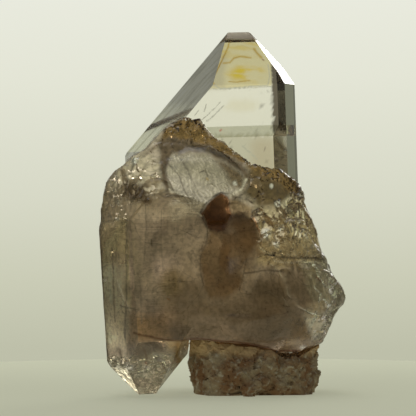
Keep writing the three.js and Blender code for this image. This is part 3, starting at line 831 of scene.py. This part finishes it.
# the hollow's brown stain, darkened further by painted shade for the recess
HOLLOW_STAIN_AND_SHADE = (0.024, 0.006, 0.0012)
HOLLOW_FROST = 0.5
PAINTED_GLINT_COLOUR = (1.0, 0.97, 0.86)
PAINTED_GLINT_FROST = 0.03
CLOUD_SHARE, SMALL_CLOUD_SHARE, STREAK_SHARE = 0.28, 0.32, 0.24  # how strongly each changes the colour
CLOUDS, SMALL_CLOUDS, STREAKS = (4.2, 211), (1.2, 221), (1.1, 231)  # sizes in millimetres, and seeds
WANDERING, HOLLOW_EDGE, LINE_WOBBLE, SPIRE_WOBBLE = (2.2, 301), (1.0, 321), (0.8, 401), (0.9, 421)
PAINTED_GLINT_EDGE, STAIN_PATCHES, SPECKS = (0.6, 411), (0.8, 431), (0.5, 441)
UPRIGHT = np.array([1.0, 1.0, 0.18])  # draws a pattern out up and down
SIDEWAYS = np.array([0.3, 1.0, 1.0])
SPREAD_SHARE, SPREAD_SOFT = 0.7, 1.5  # how strong the stain is above its foot, and how softly it begins
SPECK_SHADE = 0.7  # how much of the light a dark speck takes away
print("zones on the body:", len(ZONES), "on the spire:", len(SPIRE_ZONES))


def bend(points, amount, size, seed):
    """The points moved about in x and z by rolling noise, so that an outline wanders."""
    moved = points.copy()
    moved[:, 0] += amount * layered(points, size, seed)
    moved[:, 2] += amount * layered(points, size, seed + 40)
    return moved


def lay(colour, share, new):
    """Mixes a new colour into the painted one, by each point's share of it."""
    colour += share[:, None] * (np.array(new) - colour)


def draw_lines(points, lines, colour):
    """Lays each line's colour over the painted colour."""
    for corners, width, line_colour in lines:
        lay(colour, along(points, corners, width), line_colour)


def paint_body(points):
    """Colour and frost for each point: zone over zone, clouded, then the lines and the painted glints."""
    wandering = bend(points, 0.7, *WANDERING)
    colour = np.tile(BODY_COLOUR, (len(points), 1))
    frost = np.full(len(points), BODY_FROST)
    for corners, soft, zone_colour, zone_frost in ZONES:
        share = inside(wandering, corners, soft)
        lay(colour, share, zone_colour)
        frost += share * (zone_frost - frost)
    # the hollow is painted near black: its brown stain and painted shade inside it
    share = inside(bend(points, 0.2, *HOLLOW_EDGE), HOLLOW, 0.5) * (points[:, 1] < 0)
    lay(colour, share, HOLLOW_STAIN_AND_SHADE)
    frost += share * (HOLLOW_FROST - frost)
    clouds = CLOUD_SHARE * layered(points, *CLOUDS) + SMALL_CLOUD_SHARE * layered(points, *SMALL_CLOUDS)
    streaks = STREAK_SHARE * layered(points * UPRIGHT, *STREAKS)
    colour *= np.exp(clouds + streaks)[:, None]
    draw_lines(bend(points, 0.14, *LINE_WOBBLE), BODY_LINES, colour)
    # painted glints: clear spots laid where the cluster should glitter, so the backlight shines through them
    ragged = 0.35 * layered(points, *PAINTED_GLINT_EDGE)
    for x, z, reach in PAINTED_GLINTS:
        away = np.hypot(points[:, 0] - x, points[:, 2] - z) + reach * ragged
        share = 1 - s_curve(away / reach - 0.3)
        lay(colour, share, PAINTED_GLINT_COLOUR)
        frost += share * (PAINTED_GLINT_FROST - frost)
    return np.clip(colour, 0, 1), np.clip(frost, 0, 1)


def paint_spire(points):
    """Colour for each point of the spire's front, where iron has stained it and growth has left lines."""
    colour = np.tile(SPIRE_COLOUR, (len(points), 1))
    nearby = bend(points, 0.12, *SPIRE_WOBBLE)
    patches = layered(points * SIDEWAYS, *STAIN_PATCHES)
    for corners, soft, zone_colour in SPIRE_ZONES:
        lay(colour, inside(nearby, corners, soft), zone_colour)
    stained = inside(nearby, GOLD_PATCH, 1.6) * s_curve(0.74 + 1.5 * patches)
    spread = SPREAD_SHARE * s_curve((points[:, 2] - STAIN_FOOT) / SPREAD_SOFT) * s_curve(0.45 + 1.3 * patches)
    lay(colour, np.maximum(stained, spread), STAIN_COLOUR)
    lay(colour, s_curve((points[:, 2] - TIP_FOOT) / 0.4), TIP_COLOUR)
    draw_lines(nearby, SPIRE_LINES, colour)
    specks = s_curve((rolling(points, *SPECKS) - 0.55) / 0.2)
    specks *= np.maximum(inside(points, VEIL, 2.0), inside(points, SPECKLED, 2.0))
    colour *= (1 - SPECK_SHADE * specks)[:, None]
    return np.clip(colour, 0, 1)


# %% [markdown]
# ## Etching
#
# Natural etching eats the softer mass and spares the clean faces. The mass is first smoothed, most of all on
# the dome and the calm low face. Then rolling relief and small tilted facets move its surface in and out. The
# relief fades out next to a clean face, so that the clean face's edge stays straight.

# %% Etch the quartz
SHATTERED = [  # x, z and reach of the broken places on the column's foot
    (-14.6, 5.2, 1.2), (-10.4, 5.9, 1.3),
]
FADE_ROUNDS = 6
MASS_ROUNDS, CALM_ROUNDS = 9, 17  # of smoothing: for all of the mass, then for its calm faces alone
# Sizes and depths are in millimetres
ROLL_SIZE, LARGE_FACET, SMALL_FACET, FOOT_FACET, BROKEN_FACET = 3.4, 2.3, 0.8, 4.4, 1.4
ROLL_LIFT, ROLL_DEPTH = 0.12, 0.22
LARGE_DEPTH, LARGE_ON_FLANK, LARGE_ON_CRUST, LARGE_BEHIND = 0.10, 0.34, 0.16, 0.15
SMALL_DEPTH, SMALL_ON_CRUST, SMALL_ON_FLANK = 0.03, 0.40, 0.10
WALL_DEPTH, FOOT_DEPTH, BROKEN_DEPTH = 0.05, 0.07, 0.15
LEVEL = np.array([0.25, 0.25, 1.0])  # draws a pattern out level
QUARTZ_SHARP = 28.0  # degrees past which an edge is kept sharp


def etch(mesh, held, walls, foot):
    """Moves the vertices along their normals, in millimetres, by an amount that depends on the zone.

    On the mass it is rolling relief, plus large facets that are deepest on the flank, plus small facets that
    are deepest on the crust. On the column's walls it is faint level lines, and on its foot slight facets.
    """
    places, normals = read_points(mesh)
    ends = edge_ends(mesh)
    wandering = bend(places, 0.6, *WANDERING)
    on_wall = walls.copy()
    loose = 1.0 - held
    for _ in range(FADE_ROUNDS):
        loose = np.where(held > 0, 0.0, 0.5 * loose + 0.5 * neighbours_mean(loose, ends))
        on_wall = 0.5 * on_wall + 0.5 * neighbours_mean(on_wall, ends)
    dome = inside(wandering, DOME, 1.2) * (places[:, 1] < 0)
    crusty = np.maximum(inside(wandering, CRUST, 1.0), 0.6 * inside(wandering, SHOULDER, 1.5))
    glassy = np.maximum(inside(wandering, FLANK, 1.5), inside(wandering, CLEAR_POINT, 1.5))
    behind = s_curve(places[:, 1] / 4.0)
    etched = (1 - on_wall) * loose * (1 - dome)
    calm = np.maximum(inside(wandering, LOWER_FACE, 2.0), inside(wandering, LOWER_RIGHT, 2.0)) * etched
    mass = (etched * (1 - 0.6 * crusty) + 2 * dome * loose).clip(0, 1)
    places = relax(places, mass, ends, MASS_ROUNDS)
    places = relax(places, calm, ends, CALM_ROUNDS)
    large = LARGE_DEPTH + LARGE_ON_FLANK * glassy + LARGE_ON_CRUST * crusty + LARGE_BEHIND * behind
    small = SMALL_DEPTH + SMALL_ON_CRUST * crusty + SMALL_ON_FLANK * glassy
    height = etched * (ROLL_LIFT + ROLL_DEPTH * layered(places, ROLL_SIZE, 11))
    height += etched * large * facets(places, LARGE_FACET, 23, 0.8)
    height += etched * small * facets(places, SMALL_FACET, 51, 0.6)
    height += on_wall * loose * WALL_DEPTH * layered(places * LEVEL, 1.1, 5)
    height += foot * FOOT_DEPTH * facets(places, FOOT_FACET, 61, 0.9)
    for x, z, reach in SHATTERED:
        share = 1 - s_curve((np.hypot(places[:, 0] - x, places[:, 2] - z) - reach) / 1.4)
        height += foot * share * BROKEN_DEPTH * facets(places, BROKEN_FACET, 67, 0.9)
    move_points(mesh, places + height[:, None] * normals)
    return float(np.abs(height).max())


def set_shading(mesh, flat_faces, sharp_angle):
    """Smooth shading on etched faces, flat on clean ones, with an edge kept sharp past an angle."""
    mesh.set_sharp_from_angle(angle=np.radians(sharp_angle))
    mesh.polygons.foreach_set("use_smooth", ~flat_faces)
    mesh.update()


held_points = (spread_to_points(quartz.data, spire_faces | foot_faces) > 0).astype(float)
wall_points, foot_points = (spread_to_points(quartz.data, faces) for faces in (wall_faces, foot_faces))
print("deepest relief mm:", round(etch(quartz.data, held_points, wall_points, foot_points), 2))
set_shading(quartz.data, spire_faces | foot_faces, QUARTZ_SHARP)

# %% [markdown]
# The material can't tell a clean face from an etched one, so every corner of the mesh carries what it needs:
# its tint, its frost, and whether it lies on the spire, on a wall of the column or on the grooved dome. The
# values sit at face corners, not at vertices, so that they change cleanly at a crystal's edge.

# %% Record what the material reads
# painted shade: the spire's right wall is tinted darker and greener, as it looks where light crosses it at a
# slant
RIGHT_WALL_PAINTED_SHADE = (0.38, 0.395, 0.22)  # the spire's right wall, which light crosses at a slant
SPIRE_FROST, FOOT_FROST, TIP_FROST = 0.008, 0.10, 0.6
VEILED_TOP = 49.5  # below this height, in millimetres, the left faces turn milky
VEIL_FROST = 0.2


def record_corners(mesh, name, kind, values):
    """Writes one value for each corner of each face as an attribute: a number, or a colour of three."""
    attribute = mesh.attributes.new(name, kind, "CORNER")
    if kind == "FLOAT_COLOR":
        values = np.concatenate([values, np.ones((len(values), 1))], axis=1)
        attribute.data.foreach_set("color", values.astype(np.float32).ravel())
    else:
        attribute.data.foreach_set("value", values.astype(np.float32))


def record_finish(mesh):
    """Tint, frost and the kind of face. A spire face takes the spire's values right up to its border."""
    places, _ = read_points(mesh)
    body, frost = paint_body(places)
    stained = paint_spire(places)
    corners = np.empty(len(mesh.loops), np.int64)
    mesh.loops.foreach_get("vertex_index", corners)
    normals = np.empty(len(mesh.polygons) * 3)
    mesh.polygons.foreach_get("normal", normals)
    normals = normals.reshape(-1, 3)
    right_faces = lies_along(normals, spire_directions[1:2])
    left_faces = spire_faces & lies_along(normals, spire_directions[[5, 11]])
    marks = (normals[:, 1] < 0, right_faces, left_faces, spire_faces, foot_faces, wall_faces)
    forward, right_wall, left_facets, on_spire, on_foot, on_wall = (np.repeat(mark, 3) for mark in marks)
    clear = np.where(forward[:, None], stained[corners], SPIRE_COLOUR)
    # painted shade on the spire's right wall
    clear = np.where(right_wall[:, None], RIGHT_WALL_PAINTED_SHADE, clear)
    clear = np.where(left_facets[:, None], SPIRE_COLOUR, clear)
    tint = np.where(on_spire[:, None], clear, body[corners])
    frosted = np.where(on_spire, SPIRE_FROST, np.where(on_foot, FOOT_FROST, frost[corners]))
    frosted = np.where(on_spire & (places[corners, 2] > TIP_FOOT), TIP_FROST, frosted)
    milky = s_curve((VEILED_TOP - places[corners, 2]) / 3.0)
    frosted = np.where(left_facets, SPIRE_FROST + VEIL_FROST * milky, frosted)
    grooved = (inside(places, DOME, 1.0) * (places[:, 1] < 0))[corners] * ~on_spire
    record_corners(mesh, "tint", "FLOAT_COLOR", tint)
    record_corners(mesh, "frost", "FLOAT", frosted)
    record_corners(mesh, "spire", "FLOAT", on_spire)
    record_corners(mesh, "wall", "FLOAT", on_wall)
    record_corners(mesh, "veiled", "FLOAT", left_facets)
    record_corners(mesh, "grooved", "FLOAT", grooved)
    return tint.mean(axis=0), frosted.mean()


mean_tint, mean_frost = record_finish(quartz.data)
print("mean tint:", mean_tint.round(3), "mean frost:", round(float(mean_frost), 3))

# %% [markdown]
# ## The quartz's material
#
# One glass for the whole piece, because it is one closed body: full transmission, quartz's index of 1.544 and
# a faint smoky absorption that is the same all through. What changes over the surface is how rough it is and
# how much it tints what passes. Speckles, fine cracks and dots lie over the mass, growth lines over the
# column's walls, slanted veils over the spire's left faces, and fine grooves over the dome, with painted
# shade in the grooves and painted light between them.

# %% Quartz material
QUARTZ_INDEX = 1.544
SMOKE_COLOUR = (0.86, 0.80, 0.74, 1.0)
SMOKE_DENSITY = 14.0  # per metre
VEIL_ANGLE = np.radians(-39.0)
GROOVE_TURNS = 2 * np.pi / 0.62  # a groove every 0.62 mm
DARKEST = 0.62  # what speckle or a veil lets through where it is darkest
# GROOVE_SHADE is painted shade over the dome's grooves
CRACK_SHADE, DOT_SHADE, GROOVE_SHADE = 0.45, 0.55, 0.2  # how much of the light each takes away
# The noise values between which each mark comes in
SPECKLE_RANGE, VEIL_RANGE, UPRIGHT_RANGE, LEVEL_RANGE = (0.36, 0.62), (0.35, 0.6), (0.3, 0.62), (0.34, 0.62)
CRACK_RANGE, DOT_RANGE = (0.00016, 0.0), (0.70, 0.76)
QUARTZ_BUMP = {"Strength": 0.45, "Distance": 0.12 * MM}


def quartz_material():
    """Tint times shade. Shade is speckle, veils, growth lines, cracks and dots, each on its own faces, and
    painted shade and light over the dome's grooves.
    """
    material, tree, place, (x, _, z) = new_material("quartz")
    tint = add_node(tree, "ShaderNodeAttribute", {"attribute_name": "tint"}, output="Color")
    frost, spire, wall, veiled, grooved = (
        add_node(tree, "ShaderNodeAttribute", {"attribute_name": name}, output="Fac")
        for name in ("frost", "spire", "wall", "veiled", "grooved")
    )
    fine = noise(place, 0.6, detail=4.0)
    speckle = fine.between(*SPECKLE_RANGE) * 0.55 + DARKEST
    turn = {"Vector": place, "Angle": VEIL_ANGLE}
    slanted = place.node("ShaderNodeVectorRotate", {"rotation_type": "Y_AXIS"}, **turn)
    veils = noise(stretched(slanted, 1.0, 1.0, 0.1), 0.8, detail=3.0)
    veils = veils.between(*VEIL_RANGE) * 0.5 + DARKEST
    upright = noise(stretched(place, 1.0, 1.0, 0.07), 0.4, detail=3.0).between(*UPRIGHT_RANGE)
    level = noise(stretched(place, 0.12, 0.12, 1.0), 0.22, detail=2.0).between(*LEVEL_RANGE)
    growth = 0.68 + 0.2 * upright + 0.22 * level
    winding = noise(place, 6.5, detail=4.0, warp=0.8) - 0.5
    cracks = (winding * winding).between(*CRACK_RANGE)
    dots = noise(place, 0.34, detail=1.0).between(*DOT_RANGE)
    marks = (1 - CRACK_SHADE * cracks) * (1 - DOT_SHADE * dots)
    speckle = speckle * marks * (growth * wall + (1 - wall))
    shade = speckle * (1 - spire) + spire * (veils * veiled + (1 - veiled))
    # painted shade in the dome's grooves and painted light between them; the same wave raises their relief
    groove_relief_and_shade = ((x * 0.95 + z * 0.3 + 3.4 * noise(place, 3.4)) * GROOVE_TURNS).math("SINE") * grooved
    groove_relief_and_shade = groove_relief_and_shade * fine.between(0.3, 0.6) * noise(place, 1.6).between(0.35, 0.6)
    shade = shade * (1 - GROOVE_SHADE * grooved + 0.3 * groove_relief_and_shade)
    roughness = (frost + 0.16 * (fine - 0.5) * (1 - spire)).clip()
    relief = fine * 0.6 * (1 - wall) * (1 - grooved) + level * wall * 0.3 + groove_relief_and_shade * 0.35
    bump = add_node(tree, "ShaderNodeBump", **QUARTZ_BUMP, **{"Height": relief * (1 - spire)})
    look = {"Base Color": times(tint, shade), "Roughness": roughness, "Normal": bump}
    body = {"IOR": QUARTZ_INDEX, "Transmission Weight": 1.0}
    glass = add_node(tree, "ShaderNodeBsdfPrincipled", **look, **body)
    smoke = {"Color": SMOKE_COLOUR, "Density": SMOKE_DENSITY}
    return finish_material(material, tree, glass, add_node(tree, "ShaderNodeVolumeAbsorption", **smoke))


quartz.data.materials.clear()
quartz.data.materials.append(quartz_material())
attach(quartz, "root")
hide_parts("crystal_cluster")

# %% [markdown]
# ## The rock
#
# The rock under the crystals is a crust of grains stained by iron. It is made like the etched quartz, with
# coarser lumps, and its colours run from pale tan to orange-brown in patches.

# %% Build the rock
ROCK_EDGE = 0.5  # longest edge, in millimetres
RESTING_TOP = 0.02  # the flat resting face lies below this height and keeps its shape
WORN_TOP, WORN_SOFT = 5.0, 2.5  # the foot is smoothed below this height, changing over this much
WORN_ROUNDS = 14
LUMP_SIZE, GRAIN_SIZE, FINE_SIZE = 3.6, 1.5, 0.7
LUMP_DEPTH, GRAIN_DEPTH, FINE_DEPTH, SUNK = 0.55, 0.5, 0.35, 0.1
ROCK_SHARP = 40.0  # degrees


def build_rock():
    """The rock's copy, cut up, worn smooth below, then moved by lumps, grains and fine grains."""
    places, triangles = weld("matrix_base")
    even = np.zeros(len(triangles))
    places, triangles, _ = refine(places, triangles, even, lambda places, triangles, kinds: kinds + ROCK_EDGE)
    made = to_mesh_object("rock_base", places * MM, triangles)
    places, normals = read_points(made.data)
    resting = places[:, 2] < RESTING_TOP
    worn = np.where(resting, 0.0, 1 - s_curve((places[:, 2] - WORN_TOP) / WORN_SOFT))
    places = relax(places, worn, edge_ends(made.data), WORN_ROUNDS)
    height = LUMP_DEPTH * layered(places, LUMP_SIZE, 71) + GRAIN_DEPTH * facets(places, GRAIN_SIZE, 83, 0.8)
    height += FINE_DEPTH * facets(places, FINE_SIZE, 91, 0.6) - SUNK
    places = places + np.where(resting, 0.0, height)[:, None] * normals
    places[:, 2] = np.maximum(places[:, 2], 0.0)
    move_points(made.data, places)
    return made


rock = build_rock()
set_shading(rock.data, np.zeros(len(rock.data.polygons), bool), ROCK_SHARP)
print("rock triangles:", len(rock.data.polygons))

# %% [markdown]
# Iron has soaked into the rock unevenly. Patches go from tan to brown, pale grains show through, and the rim
# where the rock meets the crystals is a warmer tan. The grains stand out a little.

# %% Rock material
TAN, BROWN = (0.36, 0.28, 0.18), (0.24, 0.125, 0.055)
PALE_GRAIN, RIM = (0.50, 0.44, 0.34), (0.66, 0.46, 0.25)
RIM_FOOT, RIM_TOP = 6.0, 7.4  # the rim's colour comes in between these heights
ROCK_BUMP = {"Strength": 0.6, "Distance": 0.15 * MM}


def rock_material():
    """Tan to brown by patches, then pale grains, then the rim, over a rough matt stone."""
    material, tree, place, (_, _, z) = new_material("stained_rock")
    grains = place.node("ShaderNodeTexVoronoi", **{"Vector": place, "Scale": 2.2})
    patches = noise(place, 3.0, detail=4.0)
    colour = mix(patches.between(0.35, 0.65), TAN, BROWN)
    colour = mix(noise(place, 0.9, detail=4.0).between(0.5, 0.72), colour, PALE_GRAIN)
    colour = mix((z + 2.4 * (patches - 0.5)).between(RIM_FOOT, RIM_TOP), colour, RIM)
    bump = add_node(tree, "ShaderNodeBump", **ROCK_BUMP, **{"Height": grains})
    look = {"Base Color": colour, "Roughness": 0.75 + 0.2 * patches, "Normal": bump}
    return finish_material(material, tree, add_node(tree, "ShaderNodeBsdfPrincipled", **look))


rock.data.materials.clear()
rock.data.materials.append(rock_material())
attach(rock, "root")
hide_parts("matrix_base")

# %% [markdown]
# ## The studio
#
# Clear quartz shows what is behind it, so the room is built with care. A round wall rises from a pale floor
# without a corner. It glows brightest straight behind the crystals and dims to both sides, and a soft lamp
# behind on the right lights the tip's right face.

# %% Round wall and floor as one surface
WALL_RADIUS = 600 * MM
BEND_RADIUS = 250 * MM
WALL_TOP = 900 * MM
FLOOR_DROP = 420 * MM  # how far the floor lies below the table
TURNS = 96  # straight parts in a full circle


def sweep_round(name, radius, height):
    """A profile carried round a full circle: each point is (radius x sin, radius x cos, height)."""
    around = np.linspace(0, 2 * np.pi, TURNS, endpoint=False)
    level = np.repeat(height[:, None], TURNS, axis=1)
    grid = np.stack([np.outer(radius, np.sin(around)), np.outer(radius, np.cos(around)), level], axis=2)
    row, column = np.mgrid[0 : len(radius) - 1, 0:TURNS]
    here, above, after = row * TURNS, (row + 1) * TURNS, (column + 1) % TURNS
    faces = np.stack([here + column, here + after, above + after, above + column], axis=-1).reshape(-1, 4)
    made = to_mesh_object(name, grid.reshape(-1, 3), faces)
    made.data.polygons.foreach_set("use_smooth", np.ones(len(made.data.polygons), bool))
    return made


def build_backdrop():
    """A sunken floor, a quarter-circle bend (radius x sin, radius x (1 - cos)) and a straight wall."""
    angle = np.linspace(0, np.pi / 2, 24)
    flat = WALL_RADIUS - BEND_RADIUS
    radius = np.concatenate([[1 * MM, 0.3 * flat], flat + BEND_RADIUS * np.sin(angle), [WALL_RADIUS]])
    height = np.concatenate([[0.0, 0.0], BEND_RADIUS * (1 - np.cos(angle)), [WALL_TOP + FLOOR_DROP]])
    height = height - FLOOR_DROP
    return sweep_round("backdrop", radius, height)


GLOW_BY_HEIGHT = [
    (0.000, (1.10, 1.14, 1.00)),
    (0.180, (1.05, 1.09, 0.95)),
    (0.290, (0.70, 0.71, 0.61)),
    (0.380, (0.68, 0.69, 0.60)),
    (0.540, (0.46, 0.47, 0.36)),
    (0.630, (0.49, 0.50, 0.38)),
    (0.677, (0.57, 0.58, 0.45)),
    (0.732, (0.66, 0.67, 0.55)),
    (0.815, (0.76, 0.77, 0.66)),
    (0.880, (0.81, 0.82, 0.73)),
    (1.000, (0.66, 0.67, 0.60)),
]
GLOW_LOW, GLOW_HIGH = -420.0, 200.0  # the heights, in millimetres, of the ramp's two ends
GLOW_SPREAD = 0.66  # radians to each side at which the glow has fallen off
GLOW_ASIDE, GLOW_BEHIND = 0.14, 0.84
WALL_COLOUR = (0.10, 0.10, 0.09)


def glowing_paper(tree, colour, glow):
    """Matt paper that also gives off light of its own."""
    paper = add_node(tree, "ShaderNodeBsdfDiffuse", **{"Color": (*colour, 1.0)})
    light = add_node(tree, "ShaderNodeEmission", **{"Color": glow})
    return add_node(tree, "ShaderNodeAddShader", **{"0": paper, "1": light})


def backdrop_material():
    """The glow follows the height by a ramp and falls off to both sides as exp(-(angle / spread)^4)."""
    material, tree, _, (x, y, z) = new_material("backdrop_paper")
    share = z.node("ShaderNodeMapRange", **{"Value": z, "From Min": GLOW_LOW, "From Max": GLOW_HIGH})
    ramp = add_node(tree, "ShaderNodeValToRGB", {"stops": GLOW_BY_HEIGHT}, **{"Fac": share})
    angle = x.math("ARCTAN2", y) / GLOW_SPREAD
    pool = (-(angle * angle * angle * angle)).math("EXPONENT")
    glow = times(ramp, GLOW_ASIDE + GLOW_BEHIND * pool)
    return finish_material(material, tree, glowing_paper(tree, WALL_COLOUR, glow))


backdrop = build_backdrop()
backdrop.data.materials.append(backdrop_material())

# %% [markdown]
# The specimen stands on a thin pale disc. Its far edge is a little brighter, like the wall behind it, so that
# the two run into each other without a line.

# %% Table
TABLE_RADIUS = 88 * MM
TABLE_THICKNESS = 1.2 * MM
TABLE_COLOUR = (0.42, 0.43, 0.34)
NEAR_GLOW, FAR_GLOW = (0.275, 0.281, 0.209), (0.34, 0.347, 0.258)


def build_table():
    """A thin disc whose top is at height 0."""
    radius = np.array([0.5 * MM, 0.5 * TABLE_RADIUS, TABLE_RADIUS, TABLE_RADIUS, 0.5 * MM])
    height = np.array([0.0, 0.0, 0.0, -TABLE_THICKNESS, -TABLE_THICKNESS])
    made = sweep_round("table", radius, height)
    made.data.polygons.foreach_set("use_smooth", np.zeros(len(made.data.polygons), bool))
    return made


def table_material():
    """The paper glows a little more towards its far edge, so that it runs into the wall behind."""
    material, tree, _, (_, y, _) = new_material("table_paper")
    glow = mix(y.between(0.0, 88.0), NEAR_GLOW, FAR_GLOW)
    return finish_material(material, tree, glowing_paper(tree, TABLE_COLOUR, glow))


table = build_table()
table.data.materials.append(table_material())

# %% [markdown]
# Three soft lamps do the rest. The one behind on the right lights the spire's right face and its tip, the one
# overhead gives the upper edges their shine, and a weak one in front keeps the rock from going black.

# %% Lamps
ROOM_COLOUR = (0.5, 0.5, 0.46, 1.0)
ROOM_STRENGTH = 0.3


def add_lamp(name, place, target, size, radiance, colour=(1.0, 1.0, 1.0)):
    """A square soft lamp at a place, turned to face a target, both in millimetres.

    Its power is its brightness times pi times its area.
    """
    lamp = bpy.data.lights.new(name, "AREA")
    lamp.shape, lamp.size, lamp.color = "SQUARE", size * MM, colour
    lamp.energy = radiance * np.pi * lamp.size**2
    holder = bpy.data.objects.new(name, lamp)
    bpy.context.scene.collection.objects.link(holder)
    start, end = np.array(place, float), np.array(target, float)
    holder.location = start * MM
    holder.rotation_euler = Vector(end - start).to_track_quat("-Z", "Y").to_euler()
    print("lamp", name, "watts:", round(lamp.energy, 2))


add_lamp("back_right_softbox", (205, 427, 211), (5, 0, 48), 150, 5.0, (1.0, 0.99, 0.95))
add_lamp("overhead_softbox", (-60, 60, 520), (0, 0, 20), 300, 2.0)
add_lamp("front_fill", (-220, -330, 260), (0, 0, 25), 240, 0.7)

world = bpy.data.worlds.new("room")
world.use_nodes = True
world.node_tree.nodes["Background"].inputs[0].default_value = ROOM_COLOUR
world.node_tree.nodes["Background"].inputs[1].default_value = ROOM_STRENGTH
bpy.context.scene.world = world

# %% [markdown]
# ## How light is followed
#
# A ray can cross many quartz faces before it gets out, so it is allowed many bounces, and very bright
# reflections are held down to keep the picture clean.

# %% Light paths and colours
scene = bpy.context.scene
scene.cycles.max_bounces = 20
scene.cycles.transmission_bounces = 18
scene.cycles.glossy_bounces = 8
scene.cycles.diffuse_bounces = 3
scene.cycles.sample_clamp_indirect = 4.0
scene.view_settings.view_transform = "Standard"
scene.view_settings.look = "None"
print("bounces:", scene.cycles.max_bounces, "inside glass:", scene.cycles.transmission_bounces)
